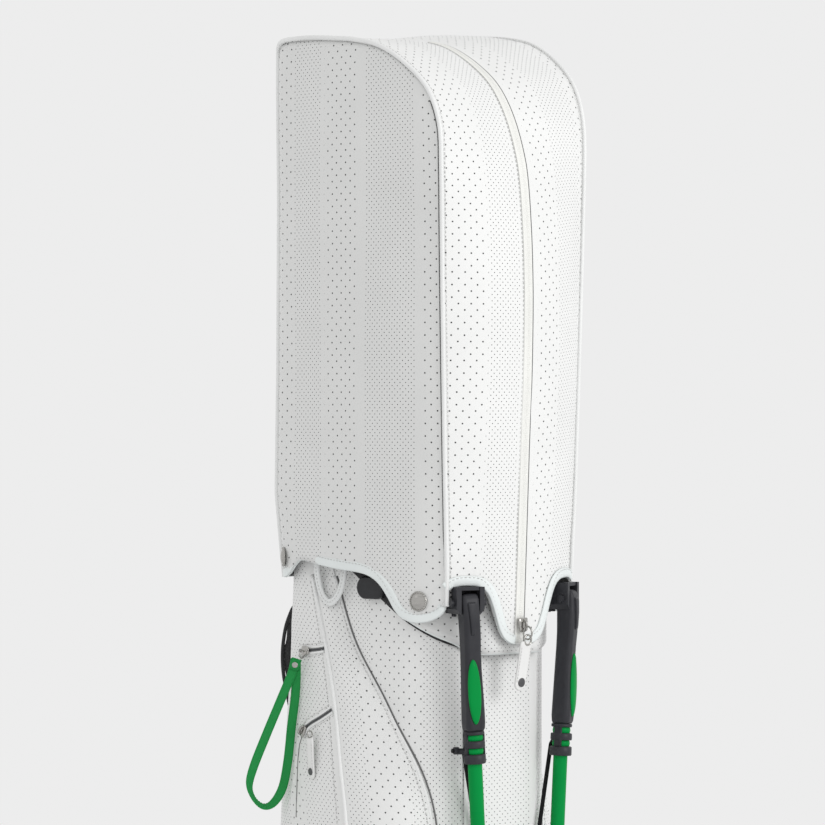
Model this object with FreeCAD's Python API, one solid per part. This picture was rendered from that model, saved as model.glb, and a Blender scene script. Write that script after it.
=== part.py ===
import FreeCAD, Part
import math
import os

V = FreeCAD.Vector

# Golf stand bag with a rain hood. Millimetres, +Z up, origin on the floor under the middle of the base.
# -Y is the leg side, +Y the spine side, and +X and -X are the two pocket sides.

# Body tube and base
TUBE_HALF_X = 84.0
TUBE_FRONT = -88.0
TUBE_BACK = 94.0
TUBE_CORNER = 50.0
TUBE_WALL = 2.5
TUBE_TOP = 868.0
PAD_H = 3.0
BASE_TOP = 80.0
BASE_WALL = 4.0
BASE_FLOOR_Z = 50.0
BASE_FLOOR_T = 4.0
COLLAR_TOP = 886.0
COLLAR_SKIRT_Z = 846.0
COLLAR_INSET = 6.0
CUFF_WALL = 1.5
CUFF_FRONT_Z = 761.0
CUFF_FRONT_Y = -76.0
CUFF_SLOPE = 0.65
CUFF_EDGE = 4.0
APRON_IN = 1.95
APRON_OUT = 3.4
APRON_TOP = 812.0
APRON_BACK_Y = -45.0
GAP = 0.3

# Legs, measured from the pivot
PIVOT_X = 65.0
PIVOT_Y = -108.0
PIVOT_Z = 795.0
LEG_SPLAY = 20.0
LEG_LEAN = 3.7
HEAD_HALF_W = 8.4
HEAD_TOP_R = 8.4
HEAD_END = -112.0
CLAMP_END = -141.0
HEAD_WAIST = -46.0
BRACKET_LOW = -10.0
BRACKET_TOP = 14.0
INLAY_Z = -77.5
INLAY_HALF_W = 6.2
INLAY_HALF_L = 28.5
TUBE_IN_HEAD = 20.0
CLAMP_R = 9.6
LEG_TUBE_R = 6.35
LEG_TUBE_WALL = 1.2
LEG_TUBE_END = -712.0
FOOT_TOP = -698.0
FOOT_END = -728.0
FOOT_R = 11.5
PIN_R = 3.0
FIT = 0.05

# Rods and kick plate
EYELET_X = 64.0
EYELET_Y = -93.0
EYELET_Z = 665.0
ROD_R = 1.9
ROD_LOW_X = 9.0
ROD_LOW_Y = -97.0
ROD_LOW_Z = 20.0
ROD_BEND_Z = 443.0
KICK_HINGE_Y = -12.0
KICK_HINGE_Z = 12.0
KICK_HALF_X = 64.0
KICK_FRONT = -90.0

# Rain hood: plan corners, profile and wall
HOOD_CORNER_X = 88.0
HOOD_CORNER_FRONT = -99.0
HOOD_CORNER_BACK = 98.0
HOOD_SIDE_BULGE = 13.0
HOOD_BACK_BULGE = 17.0
HOOD_WALL = 2.5
HOOD_TOP = 1300.0
HOOD_CROWN = 9.0
HOOD_HEM_Y = -115.0
HOOD_BOTTOM = 755.0
HOOD_WAIST_Y = -125.0
HOOD_WAIST_Z = 980.0
SIDE_HEM_Z = 812.0
TAB_HEM_Z = 777.0
NOTCH_TOP_Z = 812.0
ZIP_HALF_W = 5.5
ZIP_X = -5.5
ZIP_TOP_Y = -6.0

# Snaps: depth and height of the two on each side
SNAPS = [(-75.0, 796.0), (86.0, 830.0)]

# Pockets: height, then front edge on the tube, gusset bulge, piping, middle, back corner and spine edge
POCKET_SECTIONS = [
    (820.0, (-82.0, 38.0), (-84.4, 50.0), (-85.0, 65.0), (-85.0, 82.0), (-77.0, 95.5), (-50.0, 96.0)),
    (757.0, (-82.0, 12.0), (-90.0, 24.0), (-95.0, 38.0), (-94.0, 72.0), (-81.0, 94.0), (-45.0, 97.0)),
    (704.0, (-82.0, -27.0), (-96.0, -10.0), (-105.0, 16.0), (-102.0, 60.0), (-87.0, 93.0), (-40.0, 97.0)),
    (592.0, (-75.0, -66.0), (-101.0, -53.0), (-119.0, -13.0), (-116.0, 45.0), (-97.0, 93.0), (-36.0, 97.5)),
    (430.0, (-66.0, -76.0), (-104.0, -58.0), (-124.0, -20.0), (-122.0, 40.0), (-101.0, 92.0), (-34.0, 97.5)),
    (185.0, (-70.0, -72.0), (-98.0, -54.0), (-118.0, -16.0), (-115.0, 40.0), (-96.0, 92.0), (-34.0, 97.5)),
    (150.0, (-72.0, -66.0), (-92.0, -44.0), (-108.0, -12.0), (-105.0, 40.0), (-90.0, 90.0), (-36.0, 96.5)),
]

# Shoulder straps: middle line as (Y, Z) down the back of the bag
STRAP_X = 39.0
STRAP_HALF_W = 23.0
STRAP_T = 12.0
STRAP_LINE = [
    (103.0, 797.0), (113.0, 784.0), (124.0, 764.0), (128.0, 742.0), (127.0, 722.0), (121.0, 700.0),
    (113.0, 672.0), (108.0, 630.0), (105.5, 560.0), (105.0, 470.0), (105.0, 400.0),
]
STRAP_HINGE_Z = 806.0
STRAP_HINGE_Y = 100.0


def box(x0, x1, y0, y1, z0, z1):
    return Part.makeBox(x1 - x0, y1 - y0, z1 - z0, V(x0, y0, z0))


def bar(start, end, radius):
    way = end.sub(start)
    return Part.makeCylinder(radius, way.Length, start, way)


def face_of(edges):
    return Part.Face(Part.Wire(edges))


def polygon(points):
    return Part.makePolygon(list(points) + [points[0]])


def rounded_rect(x0, x1, y0, y1, radius, z):
    """A closed wire: straight sides joined by quarter arcs, flat at height z."""
    cut = radius * (1.0 - math.sqrt(0.5))
    edges = []
    corners = [(x1, y0, -1, 1), (x1, y1, -1, -1), (x0, y1, 1, -1), (x0, y0, 1, 1)]
    ends = []
    for x, y, to_x, to_y in corners:
        along_x = V(x + to_x * radius, y, z)
        along_y = V(x, y + to_y * radius, z)
        middle = V(x + to_x * cut, y + to_y * cut, z)
        first, last = (along_x, along_y) if to_x * to_y < 0 else (along_y, along_x)
        ends.append((first, middle, last))
    for i, (first, middle, last) in enumerate(ends):
        edges.append(Part.Arc(first, middle, last).toShape())
        following = ends[(i + 1) % len(ends)][0]
        edges.append(Part.LineSegment(last, following).toShape())
    return Part.Wire(edges)


def tube_plan(inset, z):
    """The tube's outline at height z, moved inwards by inset, or outwards where it is negative."""
    half = TUBE_HALF_X - inset
    return rounded_rect(-half, half, TUBE_FRONT + inset, TUBE_BACK - inset, TUBE_CORNER - inset, z)


def tube_prism(inset, z0, z1):
    return Part.Face(tube_plan(inset, z0)).extrude(V(0, 0, z1 - z0))


def tube_ring(outer, inner, z0, z1):
    return tube_prism(outer, z0, z1).cut(tube_prism(inner, z0 - 1.0, z1 + 1.0))


def spline(points):
    curve = Part.BSplineCurve()
    curve.interpolate(points)
    return curve.toShape()


def strip(line, thickness, x0, x1):
    """A band of even thickness whose middle line is given as (Y, Z), extruded from x0 to x1."""
    half = thickness / 2.0
    left = []
    right = []
    for i, (y, z) in enumerate(line):
        before = line[max(i - 1, 0)]
        after = line[min(i + 1, len(line) - 1)]
        dy = after[0] - before[0]
        dz = after[1] - before[1]
        size = math.hypot(dy, dz)
        left.append(V(x0, y - half * dz / size, z + half * dy / size))
        right.append(V(x0, y + half * dz / size, z - half * dy / size))
    right.reverse()
    edges = [
        spline(left),
        Part.LineSegment(left[-1], right[0]).toShape(),
        spline(right),
        Part.LineSegment(right[-1], left[0]).toShape(),
    ]
    return face_of(edges).extrude(V(x1 - x0, 0, 0))


def bent_bars(points, radius, bends):
    """A round bar along straight runs joined by tangent arcs; bends holds each arc's radius."""
    edges = []
    start = points[0]
    for i in range(1, len(points) - 1):
        back = points[i - 1].sub(points[i]).normalize()
        ahead = points[i + 1].sub(points[i]).normalize()
        bend = bends[i - 1]
        half_angle = back.getAngle(ahead) / 2.0
        reach = bend / math.tan(half_angle)
        middle_way = back.add(ahead).normalize()
        to_middle = bend / math.sin(half_angle) - bend
        first = points[i].add(V(back).multiply(reach))
        last = points[i].add(V(ahead).multiply(reach))
        middle = points[i].add(middle_way.multiply(to_middle))
        edges.append(Part.LineSegment(start, first).toShape())
        edges.append(Part.Arc(first, middle, last).toShape())
        start = last
    edges.append(Part.LineSegment(start, points[-1]).toShape())
    path = Part.Wire(edges)
    along = points[1].sub(points[0])
    section = Part.Wire([Part.Circle(points[0], along, radius).toShape()])
    return path.makePipeShell([section], True, True)


def bent_bar(points, radius, bend):
    return bent_bars(points, radius, [bend] * (len(points) - 2))


def mirrored(shape):
    return shape.mirror(V(0, 0, 0), V(1, 0, 0))


def save(name, shape):
    """Writes one node; a group of separate solids stays one compound."""
    solids = shape.Solids
    whole = solids[0] if len(solids) == 1 else Part.makeCompound(solids)
    volume = round(whole.Volume / 1000.0, 1)
    print(name, len(solids), "solid(s), volume", volume, "cm3, valid", whole.isValid())
    whole.exportStep(os.path.join("parts", name + ".step"))


def save_pair(name, left_shape):
    """Writes the -X piece as name_left and its mirror image as name_right."""
    save(name + "_left", left_shape)
    save(name + "_right", mirrored(left_shape))


# ---------------------------------------------------------------- base, tube and collar

def base_cup():
    """Moulded cup round the foot of the tube, cut out underneath and in front for the kick plate."""
    cup = tube_prism(-BASE_WALL - GAP, PAD_H, BASE_TOP)
    cup = cup.cut(tube_prism(-GAP, BASE_FLOOR_Z, BASE_TOP + 1.0))
    recess_half = KICK_HALF_X + 3.0
    underside = BASE_FLOOR_Z - BASE_FLOOR_T
    cup = cup.cut(box(-recess_half, recess_half, TUBE_FRONT - 30.0, KICK_HINGE_Y + 10.0, -1.0, underside))
    pin = bar(V(-90, KICK_HINGE_Y, KICK_HINGE_Z), V(90, KICK_HINGE_Y, KICK_HINGE_Z), PIN_R + FIT)
    return cup.cut(pin)


def base_pads():
    """Rubber pads that the bag stands on: two at the sides of the kick plate and a large one behind it."""
    side_x = (KICK_HALF_X + 3.0 + TUBE_HALF_X) / 2.0
    left = Part.makeCylinder(6.5, PAD_H, V(-side_x, -40.0, 0.0))
    right = Part.makeCylinder(6.5, PAD_H, V(side_x, -40.0, 0.0))
    rear = Part.Face(rounded_rect(-58.0, 58.0, KICK_HINGE_Y + 10.5, 78.0, 20.0, 0.0)).extrude(V(0, 0, PAD_H))
    return Part.makeCompound([left, right, rear])


def body_tube():
    return tube_ring(0.0, TUBE_WALL, BASE_FLOOR_Z, TUBE_TOP)


def top_collar():
    """Moulded ring that caps the tube, with a skirt outside it."""
    skirt = tube_ring(-BASE_WALL, -GAP / 2.0, COLLAR_SKIRT_Z, TUBE_TOP)
    cap = tube_ring(-BASE_WALL, COLLAR_INSET, TUBE_TOP, COLLAR_TOP)
    ring = skirt.fuse(cap).removeSplitter()
    top_edges = [e for e in ring.Edges if e.BoundBox.ZMin > COLLAR_TOP - 0.01]
    return ring.makeFillet(3.0, top_edges)


def collar_cuff():
    """Thin cuff below the collar; its lower edge slopes down towards the legs."""
    cuff = tube_ring(-CUFF_WALL - GAP / 2.0, -GAP / 2.0, CUFF_FRONT_Z - 15.0, COLLAR_SKIRT_Z - GAP)
    low = TUBE_FRONT - 20.0
    high = 60.0
    z_at = [CUFF_FRONT_Z + CUFF_SLOPE * (y - CUFF_FRONT_Y) for y in (low, high)]
    under = polygon([V(-120, low, 600), V(-120, low, z_at[0]), V(-120, high, z_at[1]), V(-120, 120, z_at[1]),
                     V(-120, 120, 600)])
    return cuff.cut(Part.Face(under).extrude(V(240, 0, 0)))


def collar_apron():
    """White skirt outside the cuff; it passes behind the legs, and the cuff's edge shows below it."""
    apron = tube_ring(-APRON_OUT, -APRON_IN, CUFF_FRONT_Z - 15.0, APRON_TOP)
    low = TUBE_FRONT - 20.0
    high = APRON_BACK_Y
    z_at = [CUFF_FRONT_Z + CUFF_EDGE + CUFF_SLOPE * (y - CUFF_FRONT_Y) for y in (low, high)]
    under = polygon([V(-120, low, 600), V(-120, low, z_at[0]), V(-120, high, z_at[1]), V(-120, high, 900),
                     V(-120, 120, 900), V(-120, 120, 600)])
    apron = apron.cut(Part.Face(under).extrude(V(240, 0, 0)))
    for side in (-1.0, 1.0):
        room = place_pin(box(-13.9, 13.9, -12.0, 60.0, BRACKET_LOW - 3.0, 60.0))
        apron = apron.cut(room if side < 0.0 else mirrored(room))
    front_y, front_z = SNAPS[0]
    return apron.cut(bar(V(-120, front_y, front_z), V(120, front_y, front_z), 3.2))


def collar_boss():
    """Oval moulded end of the lift handle, on the pocket side of the cuff."""
    inner_x = -TUBE_HALF_X - CUFF_WALL - GAP
    outline = rounded_rect(-10.0, 10.0, -16.5, 16.5, 9.8, 0.0)
    boss = Part.Face(outline).extrude(V(0, 0, 6.5))
    boss = boss.makeFillet(2.0, [e for e in boss.Edges if e.BoundBox.ZMin > 6.4])
    boss.rotate(V(0, 0, 0), V(0, 1, 0), -90.0)
    boss.translate(V(inner_x, -14.0, 806.0))
    return boss


def spine_plate():
    return box(-13.0, 13.0, TUBE_BACK + 0.2, TUBE_BACK + 2.2, BASE_TOP + 4.0, COLLAR_SKIRT_Z - 4.0)


def spine_stays():
    """Two stiffening rods inside the back of the tube, from the base to the collar."""
    y = TUBE_BACK - TUBE_WALL - 4.0
    rods = [Part.makeCylinder(2.5, TUBE_TOP - 64.0, V(x, y, 60.0)) for x in (-28.0, 28.0)]
    return Part.makeCompound(rods)


def front_panel():
    """Padded panel between the legs."""
    panel = tube_ring(-GAP - 3.0, -GAP, BASE_TOP + 6.0, 752.0)
    return panel.common(box(-48.0, 48.0, TUBE_FRONT - 10.0, 0.0, 0.0, 900.0))


def divider_bar(x0, x1, y0, y1, z0, z1):
    keep_in = tube_prism(COLLAR_INSET + 0.2, z0, z1)
    return box(x0, x1, y0, y1, z0, z1).common(keep_in)


def divider_sheet(x0, x1, y0, y1):
    z0 = BASE_FLOOR_Z + 6.0
    z1 = TUBE_TOP - 10.0
    keep_in = tube_prism(TUBE_WALL + 0.5, z0, z1).cut(
        box(-34.0, 34.0, TUBE_BACK - TUBE_WALL - 8.0, TUBE_BACK, z0, z1))
    return box(x0, x1, y0, y1, z0, z1).common(keep_in)


DIVIDER_ROWS = (-28.0, 36.0)
DIVIDER_Z = (TUBE_TOP - 4.0, COLLAR_TOP - 4.0)


def save_dividers():
    """Club divider: one bar fore and aft and two across, with a fabric sheet hanging under each."""
    z0, z1 = DIVIDER_Z
    save("divider_bar_long", divider_bar(-3.0, 3.0, -120.0, 120.0, z0, z1))
    save("divider_sheet_long", divider_sheet(-0.6, 0.6, -120.0, 120.0))
    bars = [divider_bar(-120.0, -3.2, y - 3.0, y + 3.0, z0, z1) for y in DIVIDER_ROWS]
    save("divider_bars_cross", Part.makeCompound(bars + [mirrored(b) for b in bars]))
    sheets = [divider_sheet(-120.0, -0.8, y - 0.6, y + 0.6) for y in DIVIDER_ROWS]
    save("divider_sheets_cross", Part.makeCompound(sheets + [mirrored(s) for s in sheets]))


# ---------------------------------------------------------------- pockets

def pocket():
    """Side pocket on the -X side: straight-edged sections joined from top to bottom, cut to the tube."""
    wires = []
    for section in POCKET_SECTIONS:
        z = section[0]
        points = [V(x, y, z) for x, y in section[1:]]
        wires.append(polygon(points + [V(-30.0, 60.0, z), V(-50.0, 20.0, z)]))
    solid = Part.makeLoft(wires, True, True)
    return solid.cut(tube_prism(-GAP, 100.0, 860.0))


def ball_pocket():
    """Pocket low on the spine side."""
    body = box(-50.0, 50.0, TUBE_BACK - 20.0, BALL_FACE_Y, 112.0, 286.0)
    rim = [e for e in body.Edges if e.BoundBox.YMin > BALL_FACE_Y - 1.0]
    body = body.makeFillet(16.0, rim)
    body = body.cut(tube_prism(-GAP, 100.0, 400.0)).cut(box(-13.4, 13.4, 90.0, TUBE_BACK + 2.5, 100.0, 400.0))
    side = pocket()
    return body.cut(side).cut(mirrored(side))


def plate_between(a, b, outward, half_width, thickness, lift):
    """A flat strip from a to b lying on a surface with the given outward direction."""
    way = b.sub(a)
    out = V(outward)
    out.normalize()
    side = way.cross(out)
    side.normalize()
    base = a.add(V(out).multiply(lift))
    across = V(side).multiply(half_width)
    corners = [base.sub(across), base.add(across), base.add(across).add(way), base.sub(across).add(way)]
    return Part.Face(polygon(corners)).extrude(V(out).multiply(thickness))


def on_section(low, high, z, index):
    """The point of a pocket's outline at height z, between two of its sections."""
    share = (z - low[0]) / (high[0] - low[0])
    x = low[index][0] + share * (high[index][0] - low[index][0])
    y = low[index][1] + share * (high[index][1] - low[index][1])
    return V(x, y, z)


def between(a, b, share):
    return a.add(b.sub(a).multiply(share))


LEFT_UPPER = POCKET_SECTIONS[1:3]
LEFT_LOWER = POCKET_SECTIONS[2:4]
RIGHT_RUN = POCKET_SECTIONS[3:5]
BACK_RUN = POCKET_SECTIONS[4:6]
PIPING = 3
TRACK_T = 1.5
TRACK_HALF_W = 4.0
SLIDER_HALF_W = 3.6
SLIDER_HALF_L = 5.0
TAB_LENGTH = 40.0
TAB_HALF_W = 5.0
TRACK_LIFT = 0.2
SLIDER_LIFT = 2.4
SLIDER_T = 4.0
TAB_LIFT = 7.2
TAB_T = 2.4


def skin(facet, z, share, index=PIPING):
    """A point on a pocket's face: share runs from outline point index to the next one."""
    high, low = facet
    first = on_section(low, high, z, index)
    second = on_section(low, high, z, index + 1)
    return between(first, second, share)


def skin_normal(facet, z, share, index=PIPING):
    across = skin(facet, z, 1.0, index).sub(skin(facet, z, 0.0, index))
    up = skin(facet, z + 1.0, share, index).sub(skin(facet, z, share, index))
    normal = across.cross(up)
    normal.normalize()
    return normal if normal.x < 0.0 else normal.multiply(-1.0)


def track(a, b, normal):
    return plate_between(a, b, normal, TRACK_HALF_W, TRACK_T, TRACK_LIFT)


def slider(at, along, normal):
    """Zip slider: a low block over the track with a bridge for its pull."""
    way = V(along)
    way.normalize()
    start = at.sub(V(way).multiply(SLIDER_HALF_L))
    end = at.add(V(way).multiply(SLIDER_HALF_L))
    return plate_between(start, end, normal, SLIDER_HALF_W, SLIDER_T, SLIDER_LIFT)


def tab(top, down, normal, length, half_width):
    """Flat leather pull hanging from its slider, parallel to the surface."""
    way = V(down)
    way.normalize()
    return plate_between(top, top.add(way.multiply(length)), normal, half_width, TAB_T, TAB_LIFT)


def left_zip_points():
    upper = [skin(LEFT_UPPER, 750.0, 0.0), skin(LEFT_UPPER, 745.0, 1.0)]
    lower = [skin(LEFT_LOWER, 693.0, 0.02), skin(LEFT_LOWER, 681.0, 0.5), skin(LEFT_LOWER, 640.0, 0.95),
             skin(LEFT_LOWER, 598.0, 1.0)]
    return upper, lower


def save_left_zips():
    """Two zips on the -X pocket: a short one near its top and one that turns down its side."""
    upper, lower = left_zip_points()
    pieces = [track(upper[0], upper[1], skin_normal(LEFT_UPPER, 748.0, 0.5))]
    for a, b in zip(lower, lower[1:]):
        pieces.append(track(a, b, skin_normal(LEFT_LOWER, (a.z + b.z) / 2.0, 0.7)))
    joined = pieces[1].fuse(pieces[2:]).removeSplitter()
    save("left_pocket_zips", Part.makeCompound([pieces[0], joined]))

    out = skin_normal(LEFT_UPPER, 746.0, 0.7)
    save("left_upper_slider", slider(between(upper[0], upper[1], 0.66), upper[1].sub(upper[0]), out))

    out = skin_normal(LEFT_LOWER, 672.0, 0.6)
    at = between(lower[1], lower[2], 0.12)
    save("left_lower_slider", slider(at, lower[2].sub(lower[1]), out))
    down = skin(LEFT_LOWER, 600.0, 0.55).sub(skin(LEFT_LOWER, 670.0, 0.55))
    save("left_lower_tab", tab(at.sub(V(0, 0, 2.0)), down, out, TAB_LENGTH, TAB_HALF_W))


LANYARD_OUT = V(-0.695, 0.719, 0.0)
LANYARD_FACE = V(-0.719, -0.695, 0.0)
LANYARD_DEPTH = 35.0
LANYARD_T = 1.6
# Outline of the folded webbing as (outwards, height)
LANYARD_EDGE = [(115.0, 744.0), (120.0, 742.0), (127.0, 726.0), (165.0, 634.0), (163.0, 618.0),
                (149.0, 603.0),
                (134.0, 611.0), (124.0, 652.0), (119.5, 690.0), (115.5, 726.0)]
LANYARD_HOLE = [(123.5, 711.0), (156.0, 628.0), (148.0, 613.0), (141.0, 621.0), (130.5, 655.0),
                (126.5, 690.0)]


def lanyard_point(out, z):
    at = V(LANYARD_OUT).multiply(out).add(V(LANYARD_FACE).multiply(LANYARD_DEPTH))
    return V(at.x, at.y, z)


def lanyard_loop():
    """Key loop of flat webbing, folded at its lower end, hanging from the upper slider."""
    thick = V(LANYARD_FACE).multiply(LANYARD_T)
    solids = []
    for outline in (LANYARD_EDGE, LANYARD_HOLE):
        points = [lanyard_point(out, z) for out, z in outline]
        solids.append(Part.Face(polygon(points)).extrude(thick))
    return solids[0].cut(solids[1])


def save_right_zip():
    """One long zip down the +X pocket."""
    top = skin(RIGHT_RUN, 588.0, 0.45)
    middle = skin(RIGHT_RUN, 430.0, 0.45)
    bottom = skin(BACK_RUN, 205.0, 0.45)
    upper = track(top, middle, skin_normal(RIGHT_RUN, 500.0, 0.45))
    lower = track(middle, bottom, skin_normal(BACK_RUN, 300.0, 0.45))
    save("right_pocket_zip", mirrored(upper.fuse(lower).removeSplitter()))
    out = skin_normal(RIGHT_RUN, 580.0, 0.45)
    way = middle.sub(top)
    at = between(top, middle, 0.05)
    save("right_slider", mirrored(slider(at, way, out)))
    save("right_tab", mirrored(tab(at.sub(V(0, 0, 2.0)), way, out, TAB_LENGTH, TAB_HALF_W)))


BALL_FACE_Y = 134.0
BALL_ZIP_Z = 258.0
BALL_ZIP_HALF = 32.0


def save_ball_zip():
    """Zip across the ball pocket."""
    out = V(0, 1, 0)
    a = V(-BALL_ZIP_HALF, BALL_FACE_Y, BALL_ZIP_Z)
    b = V(BALL_ZIP_HALF, BALL_FACE_Y, BALL_ZIP_Z)
    save("ball_pocket_zip", track(a, b, out))
    at = between(a, b, 0.1)
    save("ball_slider", slider(at, b.sub(a), out))
    save("ball_tab", tab(at.sub(V(0, 0, 2.0)), V(0, 0, -1), out, TAB_LENGTH, TAB_HALF_W))


# ---------------------------------------------------------------- legs, brackets and rods

def place_leg(shape, lean=True):
    """From the leg's own axes (pivot at the origin, front towards -Y) to its place on the -X side."""
    placed = shape.copy()
    placed.rotate(V(0, 0, 0), V(0, 0, 1), -LEG_SPLAY)
    if lean:
        placed.rotate(V(0, 0, 0), V(0, 1, 0), -LEG_LEAN)
    placed.translate(V(-PIVOT_X, PIVOT_Y, PIVOT_Z))
    return placed


def place_pin(shape):
    return place_leg(shape, lean=False)


def plate_xz(x0, x1, z0, z1, radius, y0, y1):
    """A plate with rounded corners that faces -Y."""
    plate = Part.Face(rounded_rect(x0, x1, z0, z1, radius, 0.0)).extrude(V(0, 0, y1 - y0))
    plate.rotate(V(0, 0, 0), V(1, 0, 0), 90.0)
    plate.translate(V(0, y1, 0))
    return plate


def leg_head():
    """Moulded head: round over the pin, then a tapered bar with a recess for the inlay."""
    top = bar(V(-HEAD_HALF_W, 0, 0), V(HEAD_HALF_W, 0, 0), HEAD_TOP_R)
    upper = rounded_rect(-HEAD_HALF_W, HEAD_HALF_W, -8.2, 7.6, 3.0, 0.0)
    waist = rounded_rect(-7.9, 7.9, -8.4, 7.0, 4.0, HEAD_WAIST)
    lower = rounded_rect(-9.3, 9.3, -8.9, 8.4, 5.5, HEAD_END)
    head = top.fuse([Part.makeLoft([upper, waist], True, True), Part.makeLoft([waist, lower], True, True)])
    head = head.removeSplitter().cut(oval_plate(INLAY_HALF_W + 0.2, INLAY_HALF_L + 0.2, -12.0, -7.0))
    socket = Part.makeCylinder(LEG_TUBE_R + FIT, TUBE_IN_HEAD + 2.0, V(0, 0, HEAD_END - 1.0))
    bore = place_pin(bar(V(-30, 0, 0), V(30, 0, 0), PIN_R + FIT))
    return place_leg(head.cut(socket)).cut(bore)


def oval_plate(half_w, half_l, y0, y1):
    """A long oval plate that faces -Y, centred on the inlay."""
    oval = Part.Ellipse(V(0, y1, INLAY_Z), half_l, half_w)
    edge = oval.toShape()
    edge.rotate(V(0, y1, INLAY_Z), V(0, 1, 0), 90.0)
    edge.rotate(V(0, y1, INLAY_Z), V(0, 0, 1), 90.0)
    return Part.Face(Part.Wire([edge])).extrude(V(0, y0 - y1, 0))


def leg_inlay():
    return oval_plate(INLAY_HALF_W, INLAY_HALF_L, -9.6, -7.1)


def leg_tube():
    z0 = LEG_TUBE_END
    z1 = HEAD_END + TUBE_IN_HEAD
    outer = Part.makeCylinder(LEG_TUBE_R, z1 - z0, V(0, 0, z0))
    return outer.cut(Part.makeCylinder(LEG_TUBE_R - LEG_TUBE_WALL, z1 - z0 + 2.0, V(0, 0, z0 - 1.0)))


def hinge_way():
    """The direction of the -X leg's hinge pin."""
    turn = math.radians(LEG_SPLAY)
    return V(-math.cos(turn), math.sin(turn), 0.0)


def eyelet():
    return V(-EYELET_X, EYELET_Y, EYELET_Z)


def leg_clamp():
    """Moulded ring round the tube with a lug behind it that the rod's hooked end turns in."""
    ring = Part.makeCylinder(CLAMP_R, HEAD_END - 0.3 - CLAMP_END, V(0, 0, CLAMP_END))
    hole = Part.makeCylinder(LEG_TUBE_R + FIT, 60.0, V(0, 0, CLAMP_END - 10.0))
    placed = place_leg(ring)
    way = hinge_way()
    eye = eyelet()
    centre = place_leg(Part.Vertex(0, 0, HEAD_END - 6.0)).Point
    reach = eye.sub(centre)
    reach.z = 0.0
    web = box(-2.8, 2.8, 5.0, reach.Length - 1.0, eye.z - 4.0, eye.z + 1.6)
    web.rotate(V(0, 0, 0), V(0, 0, 1), math.degrees(math.atan2(-reach.x, reach.y)))
    web.translate(V(centre.x, centre.y, 0.0))
    lug = bar(eye.sub(V(way).multiply(2.7)), eye.add(V(way).multiply(2.7)), 4.4)
    clamp = placed.fuse([web, lug]).removeSplitter().cut(place_leg(hole))
    bore = bar(eye.sub(V(way).multiply(30.0)), eye.add(V(way).multiply(30.0)), ROD_R + FIT)
    return clamp.cut(bore)


def leg_foot():
    foot = Part.makeCone(FOOT_R - 2.5, FOOT_R, FOOT_TOP - FOOT_END, V(0, 0, FOOT_END))
    foot = foot.makeFillet(2.0, [e for e in foot.Edges if e.BoundBox.ZMax < FOOT_END + 0.1])
    return foot.cut(Part.makeCylinder(LEG_TUBE_R + FIT, 40.0, V(0, 0, LEG_TUBE_END)))


def leg_pin():
    return bar(V(-17.0, 0, 0), V(17.0, 0, 0), PIN_R)


def leg_bracket():
    """Clevis on the tube's front corner: two cheeks, a back block and a roof."""
    block = box(-13.5, 13.5, 10.5, 22.0, BRACKET_LOW, BRACKET_TOP)
    stem = box(-9.5, 9.5, 21.0, 52.0, BRACKET_LOW, BRACKET_TOP)
    roof = box(-13.5, 13.5, -5.0, 11.0, BRACKET_TOP - 3.0, BRACKET_TOP)
    cheeks = [box(x, x + 4.5, -6.0, 11.0, BRACKET_LOW, BRACKET_TOP) for x in (-13.5, 9.0)]
    clevis = block.fuse([stem, roof] + cheeks).removeSplitter()
    for side in (-1.0, 1.0):
        corner = polygon([V(side * 9.2, -7.0, BRACKET_LOW), V(side * 14.0, -7.0, BRACKET_LOW + 5.0),
                          V(side * 14.0, -7.0, BRACKET_LOW - 1.0), V(side * 9.2, -7.0, BRACKET_LOW - 1.0)])
        clevis = clevis.cut(Part.Face(corner).extrude(V(0, 40.0, 0)))
    clevis = clevis.cut(bar(V(-30, 0, 0), V(30, 0, 0), PIN_R + FIT))
    placed = place_pin(clevis)
    return placed.cut(tube_prism(-CUFF_WALL - GAP, 700.0, 900.0))


def bracket_screws():
    """Round screw heads under each back block."""
    heads = []
    for x in (-5.5, 5.5):
        heads.append(place_pin(bar(V(x, 16.0, BRACKET_LOW - 2.6), V(x, 16.0, BRACKET_LOW), 2.2)))
    return heads


def rod():
    """Wire rod hooked through the clamp's lug, bent in towards the middle and hooked into the kick plate."""
    way = hinge_way()
    tip = eyelet().add(V(way).multiply(4.2))
    corner = eyelet().sub(V(way).multiply(7.2))
    points = [
        tip,
        corner,
        V(-ROD_LOW_X, ROD_LOW_Y + 0.5, ROD_BEND_Z),
        V(-ROD_LOW_X, ROD_LOW_Y, ROD_LOW_Z),
        V(-ROD_LOW_X - 9.0, ROD_LOW_Y, ROD_LOW_Z),
    ]
    return bent_bars(points, ROD_R, [2.2, 60.0, 2.2])


# ---------------------------------------------------------------- kick plate

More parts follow.
